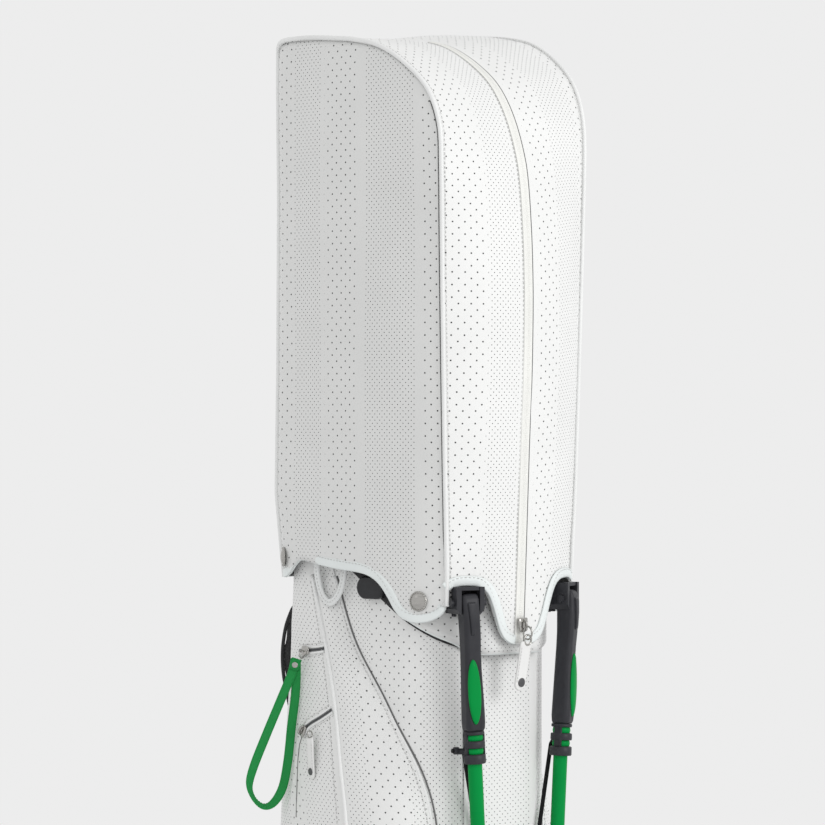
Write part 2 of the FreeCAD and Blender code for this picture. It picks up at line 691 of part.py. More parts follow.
def kick_plate():
    """Plate under the base, hinged at its rear edge, with a lip and two slotted cheeks for the rods."""
    hinge = bar(V(-KICK_HALF_X, KICK_HINGE_Y, KICK_HINGE_Z), V(KICK_HALF_X, KICK_HINGE_Y, KICK_HINGE_Z), 6.5)
    plate = box(-KICK_HALF_X, KICK_HALF_X, KICK_FRONT, KICK_HINGE_Y, 5.5, 11.0)
    lip = box(-KICK_HALF_X, KICK_HALF_X, KICK_FRONT, KICK_FRONT + 5.0, 5.5, 28.0)
    pad = box(-KICK_HALF_X + 6.0, KICK_HALF_X - 6.0, KICK_FRONT + 2.0, KICK_HINGE_Y - 12.0, 2.0, 5.5)
    body = hinge.fuse([plate, lip, pad])
    for x in (-15.5, 12.0):
        cheek = box(x, x + 3.5, KICK_FRONT - 15.0, KICK_FRONT, 8.0, 28.0)
        slot = box(x - 1.0, x + 4.5, ROD_LOW_Y - 4.6, ROD_LOW_Y + 2.6, ROD_LOW_Z - 7.4, ROD_LOW_Z + 3.6)
        body = body.fuse(cheek.cut(slot))
    pin_bore = bar(V(-90, KICK_HINGE_Y, KICK_HINGE_Z), V(90, KICK_HINGE_Y, KICK_HINGE_Z), PIN_R + FIT)
    return body.cut(pin_bore).removeSplitter()


def kick_pin():
    half = TUBE_HALF_X - 6.0
    return bar(V(-half, KICK_HINGE_Y, KICK_HINGE_Z), V(half, KICK_HINGE_Y, KICK_HINGE_Z), PIN_R)


# ---------------------------------------------------------------- spine side: straps, handle, loop

def strap_pad():
    return strip(STRAP_LINE, STRAP_T, -STRAP_X - STRAP_HALF_W, -STRAP_X + STRAP_HALF_W)


def strap_web():
    """Hinge bar and webbing of one shoulder strap, with the adjuster buckle at its lower end."""
    x0 = -STRAP_X - 19.0
    x1 = -STRAP_X + 19.0
    hinge = bar(V(-STRAP_X - 22.0, STRAP_HINGE_Y, STRAP_HINGE_Z),
                V(-STRAP_X + 22.0, STRAP_HINGE_Y, STRAP_HINGE_Z),
                2.5)
    fold = box(x0, x1, STRAP_HINGE_Y - 1.2, STRAP_HINGE_Y + 3.0, 793.0, STRAP_HINGE_Z)
    lower = strip([(105.0, 404.0), (104.5, 375.0), (103.5, 346.0)], 2.4, x0, x1)
    buckle = box(-STRAP_X - 22.0, -STRAP_X + 22.0, 99.5, 107.5, 330.0, 352.0)
    buckle = buckle.makeFillet(2.0, buckle.Edges)
    pad = strap_pad()
    upper = hinge.fuse(fold).cut(pad)
    tail = lower.fuse(buckle).cut(pad)
    return Part.makeCompound([upper.removeSplitter(), tail.removeSplitter()])


def strap_anchors():
    """Lugs on the tube's back that carry the hinge bars, and the clip bases for the lower ends."""
    solids = []
    for side in (-1.0, 1.0):
        for x in (-STRAP_X - 19.0 - 4.4, -STRAP_X + 19.0 + 0.4):
            lug = box(x, x + 4.0, TUBE_BACK + GAP, STRAP_HINGE_Y + 4.5, 801.0, 810.5)
            hole = bar(V(x - 5, STRAP_HINGE_Y, STRAP_HINGE_Z),
                       V(x + 9, STRAP_HINGE_Y, STRAP_HINGE_Z), 2.5 + FIT)
            lug = lug.cut(hole)
            solids.append(lug if side < 0.0 else mirrored(lug))
        clip = box(-STRAP_X - 14.0, -STRAP_X + 14.0, TUBE_BACK + GAP, 104.0, 298.0, 327.0)
        clip = clip.makeFillet(2.0, [e for e in clip.Edges if e.BoundBox.YMin > 103.9])
        solids.append(clip if side < 0.0 else mirrored(clip))
    side = pocket()
    return Part.makeCompound(solids).cut(side).cut(mirrored(side))


GRAB_LINE = [(100.0, 640.0), (112.0, 630.0), (123.0, 604.0), (126.0, 560.0), (123.0, 516.0), (112.0, 490.0),
             (100.0, 480.0)]


def grab_handle():
    return strip(GRAB_LINE, 7.0, -11.0, 11.0)


def towel_loop():
    """Soft U-shaped loop that hangs from a small plate on the cuff."""
    x = -90.6
    loop = bent_bar([V(x, 18.0, 832.0), V(x, 19.0, 794.0), V(x, 51.0, 794.0), V(x, 52.0, 832.0)], 3.0, 14.0)
    plate = box(-93.6, -TUBE_HALF_X - CUFF_WALL - GAP, 12.0, 58.0, 828.0, 838.0)
    return loop.fuse(plate).removeSplitter()


# ---------------------------------------------------------------- rain hood

def hood_plan(inset):
    """Prism of the hood's outline seen from above: four bowed sides that meet at the piped corners."""
    x = HOOD_CORNER_X
    front = V(0, HOOD_WAIST_Y, 0)
    corners = [V(-x, HOOD_CORNER_FRONT, 0), V(x, HOOD_CORNER_FRONT, 0), V(x, HOOD_CORNER_BACK, 0),
               V(-x, HOOD_CORNER_BACK, 0)]
    middles = [front, V(x + HOOD_SIDE_BULGE, 0, 0), V(0, HOOD_CORNER_BACK + HOOD_BACK_BULGE, 0),
               V(-x - HOOD_SIDE_BULGE, 0, 0)]
    edges = []
    for i in range(4):
        edges.append(Part.Arc(corners[i], middles[i], corners[(i + 1) % 4]).toShape())
    wire = Part.Wire(edges)
    if inset:
        wire = wire.makeOffset2D(-inset, 2)
    face = Part.Face(wire)
    face.translate(V(0, 0, 700.0))
    return face.extrude(V(0, 0, 700.0))


HOOD_CREST = [(HOOD_WAIST_Y, HOOD_WAIST_Z), (-124.4, 1074.0), (-114.5, 1175.0), (-84.0, 1248.6),
              (-31.0, 1286.4),
              (20.0, 1297.5), (78.0, HOOD_TOP)]


def shifted(line, inset):
    """The points of a line in (Y, Z), each moved to the right of its way by inset."""
    points = []
    for i, (y, z) in enumerate(line):
        before = line[max(i - 1, 0)]
        after = line[min(i + 1, len(line) - 1)]
        dy = after[0] - before[0]
        dz = after[1] - before[1]
        size = math.hypot(dy, dz)
        points.append(V(0, y + inset * dz / size, z - inset * dy / size))
    return points


def hood_profile(inset):
    """Prism of the hood's outline seen from the side: upright front, rounded crest, nearly square back."""
    back = HOOD_CORNER_BACK + HOOD_BACK_BULGE - inset
    crest = shifted(HOOD_CREST, inset)
    diagonal = inset * math.sqrt(0.5)
    shoulder_end = V(0, back, HOOD_TOP - 36.0)
    shoulder_middle = V(0, back + inset - 9.0 - diagonal, HOOD_TOP - 11.0 - diagonal)
    low_front = V(0, HOOD_HEM_Y + inset, 740.0)
    low_back = V(0, back, 740.0)
    edges = [
        Part.LineSegment(low_front, crest[0]).toShape(),
        spline(crest),
        Part.Arc(crest[-1], shoulder_middle, shoulder_end).toShape(),
        Part.LineSegment(shoulder_end, low_back).toShape(),
        Part.LineSegment(low_back, low_front).toShape(),
    ]
    face = face_of(edges)
    face.translate(V(-150.0, 0, 0))
    return face.extrude(V(300.0, 0, 0))


def hood_crown(inset):
    """Prism that makes the top a little lower at the sides than in the middle."""
    top = HOOD_TOP - inset
    low = top - HOOD_CROWN
    side = HOOD_CORNER_X + HOOD_SIDE_BULGE + 20.0
    edges = [
        Part.Arc(V(-side, -200, low), V(0, -200, top), V(side, -200, low)).toShape(),
        Part.LineSegment(V(side, -200, low), V(side, -200, 600)).toShape(),
        Part.LineSegment(V(side, -200, 600), V(-side, -200, 600)).toShape(),
        Part.LineSegment(V(-side, -200, 600), V(-side, -200, low)).toShape(),
    ]
    return face_of(edges).extrude(V(0, 400.0, 0))


def hood_solid(inset):
    return hood_plan(inset).common(hood_profile(inset)).common(hood_crown(inset))


def hem_region(rise):
    """Everything below the hood's lower edge; rise lifts that edge."""
    back = box(-130, 130, -62.0, 130.0, 700.0, SIDE_HEM_Z + rise)
    front = box(-84.0, 84.0, -150.0, -62.0, 700.0, NOTCH_TOP_Z + rise)
    flap = polygon([V(-44, -160, 900), V(-43, -160, NOTCH_TOP_Z + rise), V(-35, -160, 783 + rise),
                    V(-31, -160, HOOD_BOTTOM + rise), V(31, -160, HOOD_BOTTOM + rise),
                    V(35, -160, 783 + rise),
                    V(43, -160, NOTCH_TOP_Z + rise), V(44, -160, 900)])
    front = front.cut(Part.Face(flap).extrude(V(0, 110, 0)))
    tabs = [box(x, x + 50.0, -150.0, -62.0, 700.0, TAB_HEM_Z + rise) for x in (-134.0, 84.0)]
    return back.fuse([front] + tabs)


def hood_seam():
    """Corners of the seam from the front corner over the crest to the back corner."""
    return [V(-89.7, -103.5, TAB_HEM_Z + 2.0), V(-89.7, -101.2, 1222.0), V(-96.8, -76.0, 1268.0),
              V(-102.6, -22.0, 1293.5), V(-91.0, 101.5, 1297.0), V(-90.0, 100.0, SIDE_HEM_Z + 2.0)]


def save_hood():
    outer = hood_solid(0.0)
    shell = outer.cut(hood_solid(HOOD_WALL)).cut(hem_region(0.0))
    solids = sorted(shell.Solids, key=lambda s: s.Volume)
    shell = solids[-1]
    save("hood_shell", shell)

    skin_band = hood_solid(-1.3).cut(hood_solid(-0.1))
    binding = skin_band.common(hem_region(8.5)).cut(hem_region(0.0))
    binding = binding.cut(box(ZIP_X - ZIP_HALF_W - 0.3, ZIP_X + ZIP_HALF_W + 0.3, -150, -90, 700, 800))
    save("hood_binding", Part.makeCompound([s for s in binding.Solids if s.Volume > 50.0]))

    zip_region = box(ZIP_X - ZIP_HALF_W, ZIP_X + ZIP_HALF_W, -150.0, ZIP_TOP_Y, HOOD_BOTTOM + 0.5, 1310.0)
    zip_track = hood_profile(-1.6).cut(hood_profile(-0.3)).common(zip_region)
    save("hood_zip", zip_track)

    left = bent_bars(hood_seam(), 2.2, [80.0, 80.0, 100.0, 16.0])
    left = left.cut(hood_solid(-0.05)).cut(hem_region(8.8))
    left = sorted(left.Solids, key=lambda s: s.Volume)[-1]
    save("hood_piping", Part.makeCompound([left, mirrored(left)]))


SNAP_R = 8.0
SNAP_T = 4.0


def side_x(y):
    """Outer face of the hood's side panel at depth y."""
    half_length = (HOOD_CORNER_BACK - HOOD_CORNER_FRONT) / 2.0
    centre = (HOOD_CORNER_BACK + HOOD_CORNER_FRONT) / 2.0
    share = (y - centre) / half_length
    return HOOD_CORNER_X + HOOD_SIDE_BULGE * (1.0 - share * share)


def save_snaps():
    """Snap caps on the hood, and the studs that stand out of the bag behind them."""
    caps = []
    studs = []
    for y, z in SNAPS:
        x = -side_x(y)
        cap = bar(V(x, y, z), V(x - SNAP_T - 0.8, y, z), SNAP_R)
        cap = cap.makeFillet(1.6, [e for e in cap.Edges if e.BoundBox.XMax < x - SNAP_T])
        cap = cap.cut(hood_plan(-0.05))
        caps.extend([cap, mirrored(cap)])
        surface = -TUBE_HALF_X
        if y < TUBE_FRONT + TUBE_CORNER:
            reach = TUBE_FRONT + TUBE_CORNER - y
            surface = -(TUBE_HALF_X - TUBE_CORNER) - math.sqrt(TUBE_CORNER ** 2 - reach ** 2)
        if y > TUBE_BACK - TUBE_CORNER:
            reach = y - TUBE_BACK + TUBE_CORNER
            surface = -(TUBE_HALF_X - TUBE_CORNER) - math.sqrt(TUBE_CORNER ** 2 - reach ** 2)
        stud = bar(V(surface + 12.0, y, z), V(x + HOOD_WALL + 1.2, y, z), 2.6)
        stud = stud.cut(tube_prism(-CUFF_WALL - GAP, 700.0, 900.0))
        studs.extend([stud, mirrored(stud)])
    save("hood_snap_caps", Part.makeCompound(caps))
    save("snap_studs", Part.makeCompound([s for stud in studs for s in stud.Solids]))


HOOD_SLIDER_Z = 774.0


def hood_front_y(z):
    """Outer face of the hood's front below the waist, on the middle line."""
    share = (z - 740.0) / (HOOD_WAIST_Z - 740.0)
    return HOOD_HEM_Y + share * (HOOD_WAIST_Y - HOOD_HEM_Y)


def save_hood_slider():
    way = V(0, hood_front_y(900.0) - hood_front_y(800.0), 100.0)
    at = V(ZIP_X, hood_front_y(HOOD_SLIDER_Z), HOOD_SLIDER_Z)
    block = slider(at, way, V(0, -1, 0))
    hinge_y = at.y - SLIDER_LIFT - SLIDER_T - 1.8
    save("hood_slider", block)
    ring = Part.makeTorus(5.0, 1.1, V(ZIP_X, hinge_y, HOOD_SLIDER_Z - 9.0), V(0, 1, 0))
    leather = plate_xz(ZIP_X - 6.3, ZIP_X + 6.3, HOOD_SLIDER_Z - 59.0, HOOD_SLIDER_Z - 14.0, 3.0,
                       hinge_y - 1.3, hinge_y + 1.1)
    save("hood_pull", ring.fuse(leather).removeSplitter())


# ---------------------------------------------------------------- everything, one node at a time

def save_bag():
    save("base_cup", base_cup())
    save("base_pads", base_pads())
    save("body_tube", body_tube())
    save("top_collar", top_collar())
    save("collar_cuff", collar_cuff())
    save("collar_apron", collar_apron())
    save("collar_boss", collar_boss())
    save("spine_plate", spine_plate())
    save("spine_stays", spine_stays())
    save("front_panel", front_panel())
    save_dividers()
    save_pair("pocket", pocket())
    save("ball_pocket", ball_pocket())
    save_left_zips()
    save_right_zip()
    save_ball_zip()
    save("lanyard_loop", lanyard_loop())
    save("towel_loop", towel_loop())
    save("grab_handle", grab_handle())
    save("strap_anchors", strap_anchors())
    save_pair("strap_pad", strap_pad())
    save_pair("strap_web", strap_web())


def save_legs():
    save_pair("leg_bracket", leg_bracket())
    pin = place_pin(leg_pin())
    save("hinge_pins", Part.makeCompound([pin, mirrored(pin), kick_pin()]))
    screws = bracket_screws()
    save("bracket_screws", Part.makeCompound(screws + [mirrored(s) for s in screws]))
    save_pair("leg_head", leg_head())
    save_pair("leg_inlay", place_leg(leg_inlay()))
    save_pair("leg_tube", place_leg(leg_tube()))
    save_pair("leg_clamp", leg_clamp())
    save_pair("leg_foot", place_leg(leg_foot()))
    save_pair("rod", rod())
    save("kick_plate", kick_plate())


os.makedirs("parts", exist_ok=True)
save_bag()
save_legs()
save_hood()
save_snaps()
save_hood_slider()
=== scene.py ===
import math

import bmesh
import bpy
from mathutils import Matrix, Vector, noise


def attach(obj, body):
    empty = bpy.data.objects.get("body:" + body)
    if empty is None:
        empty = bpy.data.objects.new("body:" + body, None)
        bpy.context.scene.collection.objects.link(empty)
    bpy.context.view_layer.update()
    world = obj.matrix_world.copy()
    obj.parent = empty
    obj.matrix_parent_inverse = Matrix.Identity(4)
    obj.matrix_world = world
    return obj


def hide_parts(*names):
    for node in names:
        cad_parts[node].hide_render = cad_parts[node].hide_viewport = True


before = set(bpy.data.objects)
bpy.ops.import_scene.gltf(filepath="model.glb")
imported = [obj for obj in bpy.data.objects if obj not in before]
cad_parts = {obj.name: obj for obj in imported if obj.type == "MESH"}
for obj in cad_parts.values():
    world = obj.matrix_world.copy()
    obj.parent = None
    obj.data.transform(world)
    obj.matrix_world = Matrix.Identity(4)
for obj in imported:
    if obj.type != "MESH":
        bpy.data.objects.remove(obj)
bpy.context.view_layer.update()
MM = 0.001
X_AXIS = Vector((1, 0, 0))
Y_AXIS = Vector((0, 1, 0))
Z_AXIS = Vector((0, 0, 1))
SIDE_NAME = {-1: "left", 1: "right"}


# ------------------------------------------------------------------ small helpers

def mm(x, y, z):
    return Vector((x, y, z)) * MM


def unit(value):
    """The value kept between 0 and 1."""
    return min(max(value, 0.0), 1.0)


def heading(path, i):
    """Direction of a path at its point i."""
    return (path[min(i + 1, len(path) - 1)] - path[max(i - 1, 0)]).normalized()


def circle(count):
    """Cosine and sine of evenly spaced angles, all the way round."""
    return [(math.cos(2 * math.pi * k / count), math.sin(2 * math.pi * k / count)) for k in range(count)]


def squared(count, p, q):
    """A circle pushed out towards a square, more for smaller powers."""
    return [(math.copysign(abs(c) ** p, c), math.copysign(abs(s) ** q, s)) for c, s in circle(count)]


def strip_section(half, low, top_half, high):
    """Section of a flat strip that narrows from its lower to its upper face."""
    return [(-half, low), (half, low), (top_half, high), (-top_half, high)]


def dome_section(half, rise, base=0.0):
    """Section of a rolled edge: half an oval."""
    return [(half * math.cos(math.pi * k / 7), rise * math.sin(math.pi * k / 7) + base) for k in range(8)]


def catmull(points, steps):
    """Smooth line through the points, with that many steps between each two."""
    line = []
    count = len(points)
    for i in range(count - 1):
        a = points[max(i - 1, 0)]
        b = points[i]
        c = points[i + 1]
        d = points[min(i + 2, count - 1)]
        for k in range(steps):
            t = k / steps
            line.append(b * (1 - t * t * (3 - 2 * t)) + c * (t * t * (3 - 2 * t))
                        + (c - a) * (0.5 * t * (1 - t) ** 2) - (d - b) * (0.5 * t * t * (1 - t)))
    line.append(points[-1].copy())
    return line


def evenly(points, spacing):
    """The same line with its points evenly spaced."""
    lengths = [0.0]
    for a, b in zip(points, points[1:]):
        lengths.append(lengths[-1] + (b - a).length)
    count = max(int(round(lengths[-1] / spacing)), 2)
    out = []
    at = 0
    for k in range(count + 1):
        want = lengths[-1] * k / count
        while at < len(points) - 2 and lengths[at + 1] < want:
            at += 1
        span = max(lengths[at + 1] - lengths[at], 1e-9)
        out.append(points[at].lerp(points[at + 1], (want - lengths[at]) / span))
    return out


def lookup(table, value):
    """Straight-line reading of a table of (input, output) pairs with rising input."""
    if value <= table[0][0]:
        return table[0][1]
    for (x0, y0), (x1, y1) in zip(table, table[1:]):
        if value <= x1:
            return y0 + (y1 - y0) * (value - x0) / (x1 - x0)
    return table[-1][1]


def smooth_table(table, steps=8):
    line = catmull([Vector((x, y, 0)) for x, y in table], steps)
    return [(p.x, p.y) for p in line]


def new_mesh(name, verts, faces, materials, uvs=None):
    data = bpy.data.meshes.new(name)
    data.from_pydata([tuple(v) for v in verts], [], faces)
    for m in materials:
        data.materials.append(m)
    if uvs is not None:
        layer = data.uv_layers.new(name="Cut")
        for loop in data.loops:
            layer.data[loop.index].uv = uvs[loop.vertex_index]
    for p in data.polygons:
        p.use_smooth = True
    data.update()
    obj = bpy.data.objects.new(name, data)
    bpy.context.scene.collection.objects.link(obj)
    return obj


def settled(obj):
    """Applies every modifier of the piece."""
    graph = bpy.context.evaluated_depsgraph_get()
    data = bpy.data.meshes.new_from_object(obj.evaluated_get(graph))
    obj.modifiers.clear()
    old = obj.data
    obj.data = data
    bpy.data.meshes.remove(old)
    return obj


def join(objs, name):
    """One object made of several."""
    data_list = [o.data for o in objs]
    materials = []
    for d in data_list:
        for m in d.materials:
            if m not in materials:
                materials.append(m)
    bm = bmesh.new()
    for d in data_list:
        start = len(bm.faces)
        bm.from_mesh(d)
        bm.faces.ensure_lookup_table()
        for f in bm.faces[start:]:
            f.material_index = materials.index(d.materials[f.material_index])
    data = bpy.data.meshes.new(name)
    bm.to_mesh(data)
    bm.free()
    for m in materials:
        data.materials.append(m)
    for o in objs:
        old = o.data
        bpy.data.objects.remove(o)
        bpy.data.meshes.remove(old)
    obj = bpy.data.objects.new(name, data)
    bpy.context.scene.collection.objects.link(obj)
    return obj


def grid(name, rows, material, uvs, flip=False):
    """Sheet through rows of points, with uvs in metres."""
    width = len(rows[0])
    verts = [p for row in rows for p in row]
    flat = [uv for row in uvs for uv in row]
    faces = []
    for i in range(len(rows) - 1):
        for j in range(width - 1):
            a = i * width + j
            quad = [a, a + 1, a + width + 1, a + width]
            faces.append(quad[::-1] if flip else quad)
    return new_mesh(name, verts, faces, [material], flat)


def surface(name, firsts, seconds, spot, material, flip=False):
    """Sheet of the points spot(a, b) gives, each with its (u, v) in metres."""
    found = [[spot(a, b) for b in seconds] for a in firsts]
    rows = [[point for point, _ in row] for row in found]
    return grid(name, rows, material, [[uv for _, uv in row] for row in found], flip)


def thicken(obj, thickness, inner=None):
    solid = obj.modifiers.new("wall", "SOLIDIFY")
    solid.thickness = thickness * MM
    solid.offset = -1.0
    if inner is not None:
        obj.data.materials.append(inner)
        solid.material_offset = 1
        solid.material_offset_rim = 0
    return settled(obj)


def subdivide(obj):
    mod = obj.modifiers.new("smooth", "SUBSURF")
    mod.levels = 1
    mod.render_levels = 1
    return settled(obj)


def bevelled(obj, width, segments=2, angle=0.6):
    mod = obj.modifiers.new("edge", "BEVEL")
    mod.width = width * MM
    mod.segments = segments
    mod.limit_method = "ANGLE"
    mod.angle_limit = angle
    return settled(obj)


def sweep(name, path, ups, section, material, closed=False):
    """Closed section of (side, up) offsets carried along a path, with uvs in metres."""
    verts = []
    uvs = []
    count = len(path)
    sides = len(section)
    length = 0.0
    around = [0.0]
    for k in range(1, sides + 1):
        around.append(around[-1] + math.dist(section[k - 1], section[k % sides]))
    for i, p in enumerate(path):
        before = path[(i - 1) % count] if closed else path[max(i - 1, 0)]
        after = path[(i + 1) % count] if closed else path[min(i + 1, count - 1)]
        along = (after - before).normalized()
        up = ups[i] if isinstance(ups, list) else ups
        side = along.cross(up).normalized()
        up = side.cross(along).normalized()
        if i:
            length += (p - path[i - 1]).length
        for k, (s, u) in enumerate(section):
            verts.append(p + side * (s * MM) + up * (u * MM))
            uvs.append((around[k] * MM, length))
    faces = []
    spans = count if closed else count - 1
    for i in range(spans):
        a = i * sides
        b = ((i + 1) % count) * sides
        for k in range(sides):
            n = (k + 1) % sides
            faces.append([a + k, b + k, b + n, a + n])
    if not closed:
        faces.append(list(range(sides)))
        faces.append([(count - 1) * sides + k for k in range(sides)][::-1])
    return new_mesh(name, verts, faces, [material], uvs)


def ring_faces(count, sides):
    """Faces of a skin over rings of points, with a cap at each end."""
    faces = []
    for i in range(count - 1):
        for k in range(sides):
            n = (k + 1) % sides
            faces.append([i * sides + k, i * sides + n, (i + 1) * sides + n, (i + 1) * sides + k])
    faces.append(list(range(sides))[::-1])
    faces.append([(count - 1) * sides + k for k in range(sides)])
    return faces


def ring_section(radius, sides=12):
    return [(radius * c, radius * s) for c, s in circle(sides)]


def flat_section(width, thickness, base=0.0):
    """Webbing: flat, with rounded edges and low ribs on its upper face."""
    rib = 0.12
    half = width / 2
    r = thickness / 2
    points = []
    for k in range(5):
        a = -math.pi / 2 + math.pi * k / 4
        points.append((half - r + r * math.cos(a), base + r + r * math.sin(a)))
    for k in range(1, 6):
        points.append((half - r - (width - thickness) * k / 6, base + thickness + (rib if k % 2 else 0.0)))
    for k in range(5):
        a = math.pi / 2 + math.pi * k / 4
        points.append((-half + r + r * math.cos(a), base + r + r * math.sin(a)))
    for k in range(1, 6):
        points.append((-half + r + (width - thickness) * k / 6, base))
    return points


def revolve(name, profile, origin, axis, material, sides=40):
    """Turned piece: profile of (radius, height) about an axis."""
    axis = axis.normalized()
    first = axis.orthogonal().normalized()
    second = axis.cross(first)
    verts = []
    uvs = []
    for r, h in profile:
        for k in range(sides):
            a = 2 * math.pi * k / sides
            verts.append(origin + axis * (h * MM) + (first * math.cos(a) + second * math.sin(a)) * (r * MM))
            uvs.append((a * r * MM, h * MM))
    return new_mesh(name, verts, ring_faces(len(profile), sides), [material], uvs)


def stitches(name, path, ups, material, length=2.7, gap=1.3, radius=0.33, lift=0.1):
    """Row of thread stitches lying on a surface along a path."""
    verts = []
    faces = []
    points = evenly(path, (length + gap) * MM)
    for i in range(len(points) - 1):
        a = points[i]
        b = points[i + 1]
        share = i / max(len(points) - 2, 1)
        up = ups[int(share * (len(ups) - 1))] if isinstance(ups, list) else ups
        along = (b - a).normalized()
        side = along.cross(up).normalized()
        middle = (a + b) / 2 + up * (lift * MM)
        base = len(verts)
        for along_at, scale in ((-0.5, 0.35), (-0.3, 1.0), (0.3, 1.0), (0.5, 0.35)):
            centre = middle + along * (along_at * length * MM)
            drop = up * (-0.25 * MM if scale < 1 else 0)
            for k in range(6):
                t = 2 * math.pi * k / 6
                verts.append(centre + drop + (side * math.cos(t) + up * math.sin(t)) * (radius * scale * MM))
        for ring in range(3):
            for k in range(6):
                n = (k + 1) % 6
                s = base + ring * 6
                faces.append([s + k, s + n, s + 6 + n, s + 6 + k])
        faces.append([base + k for k in range(6)][::-1])
        faces.append([base + 18 + k for k in range(6)])
    return new_mesh(name, verts, faces, [material])


def place(obj, body, slot, *nodes):
    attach(obj, body)
    if nodes:
        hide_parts(*nodes)
    return obj


# ------------------------------------------------------------------ materials

class Nodes:
    """Short calls for building a material's node tree."""

    def __init__(self, name, color, rough, metal=0.0):
        self.material = bpy.data.materials.new(name)
        self.material.use_nodes = True
        self.tree = self.material.node_tree
        self.shader = self.tree.nodes["Principled BSDF"]
        self.shader.inputs["Base Color"].default_value = (*color, 1)
        self.shader.inputs["Roughness"].default_value = rough
        self.shader.inputs["Metallic"].default_value = metal

    def add(self, kind, **values):
        node = self.tree.nodes.new(kind)
        for key, value in values.items():
            setattr(node, key, value)
        return node

    def link(self, a, b):
        self.tree.links.new(a, b)

    def math(self, operation, a, b=None, clamp=False):
        node = self.add("ShaderNodeMath", operation=operation, use_clamp=clamp)
        for i, value in enumerate((a, b)):
            if value is None:
                continue
            if isinstance(value, (int, float)):
                node.inputs[i].default_value = value
            else:
                self.link(value, node.inputs[i])
        return node.outputs[0]

    def position(self):
        return self.add("ShaderNodeTexCoord").outputs["Object"]

    def uv(self):
        return self.add("ShaderNodeUVMap", uv_map="Cut").outputs["UV"]

    def noise(self, scale, detail=3.0, stretch=None, vector=None, rough=0.5):
        node = self.add("ShaderNodeTexNoise")
        node.inputs["Scale"].default_value = scale
        node.inputs["Detail"].default_value = detail
        node.inputs["Roughness"].default_value = rough
        source = vector or self.position()
        if stretch:
            mapping = self.add("ShaderNodeMapping")
            mapping.inputs["Scale"].default_value = stretch
            self.link(source, mapping.inputs["Vector"])
            source = mapping.outputs["Vector"]
        self.link(source, node.inputs["Vector"])
        return node.outputs["Fac"]

    def voronoi(self, scale, vector=None):
        node = self.add("ShaderNodeTexVoronoi")
        node.inputs["Scale"].default_value = scale
        self.link(vector or self.position(), node.inputs["Vector"])
        return node.outputs["Distance"]

    def ramp(self, fac, stops, constant=False):
        node = self.add("ShaderNodeValToRGB")
        ramp = node.color_ramp
        ramp.interpolation = "CONSTANT" if constant else "LINEAR"
        while len(ramp.elements) < len(stops):
            ramp.elements.new(0.5)
        for element, (at, color) in zip(ramp.elements, stops):
            element.position = at
            element.color = (color, color, color, 1) if isinstance(color, (int, float)) else (*color, 1)
        self.link(fac, node.inputs["Fac"])
        return node.outputs["Color"]

    def shaded(self, fac, color, dark, low=0.3):
        """The colour, darker where fac is low."""
        return self.ramp(fac, [(low, tuple(c * dark for c in color)), (0.7, color)])

    def spread(self, fac, size, base):
        """Fac scaled to a size and set on a base."""
        return self.math("ADD", self.math("MULTIPLY", fac, size), base)

    def mix(self, fac, a, b):
        node = self.add("ShaderNodeMix", data_type="RGBA")
        self.link(fac, node.inputs["Factor"])
        for key, value in (("A", a), ("B", b)):
            socket = [s for s in node.inputs if s.name == key and s.type == "RGBA"][0]
            if isinstance(value, tuple):
                socket.default_value = (*value, 1)
            else:
                self.link(value, socket)
        return [s for s in node.outputs if s.type == "RGBA"][0]

    def bump(self, height, strength, distance, before=None):
        node = self.add("ShaderNodeBump")
        node.inputs["Strength"].default_value = strength
        node.inputs["Distance"].default_value = distance
        self.link(height, node.inputs["Height"])
        if before is not None:
            self.link(before, node.inputs["Normal"])
        return node.outputs["Normal"]

    def finish(self, color=None, rough=None, normal=None, **values):
        if color is not None:
            self.link(color, self.shader.inputs["Base Color"])
        if rough is not None:
            self.link(rough, self.shader.inputs["Roughness"])
        if normal is not None:
            self.link(normal, self.shader.inputs["Normal"])
        for key, value in values.items():
            self.shader.inputs[key.replace("_", " ")].default_value = value
        return self.material


def hole_mask(n, u, v, pitch, radius):
    """1 inside the round holes of a staggered pattern, in metres."""
    squares = []
    for operation in ("ADD", "SUBTRACT"):
        cell = n.spread(n.math(operation, u, v), 1 / (2 * pitch), 0.5)
        off = n.math("SUBTRACT", n.math("FRACT", cell), 0.5)
        squares.append(n.math("MULTIPLY", off, off))
    far = n.math("SQRT", n.math("ADD", *squares))
    edge = radius / (pitch * math.sqrt(2))
    soft = 0.16 * edge
    return n.math("MULTIPLY", n.math("SUBTRACT", edge + soft, far), 1 / (2 * soft), clamp=True)


# spacing and radius of the holes, in metres
COARSE = (0.0055, 0.00072)
FINE = (0.00275, 0.00044)


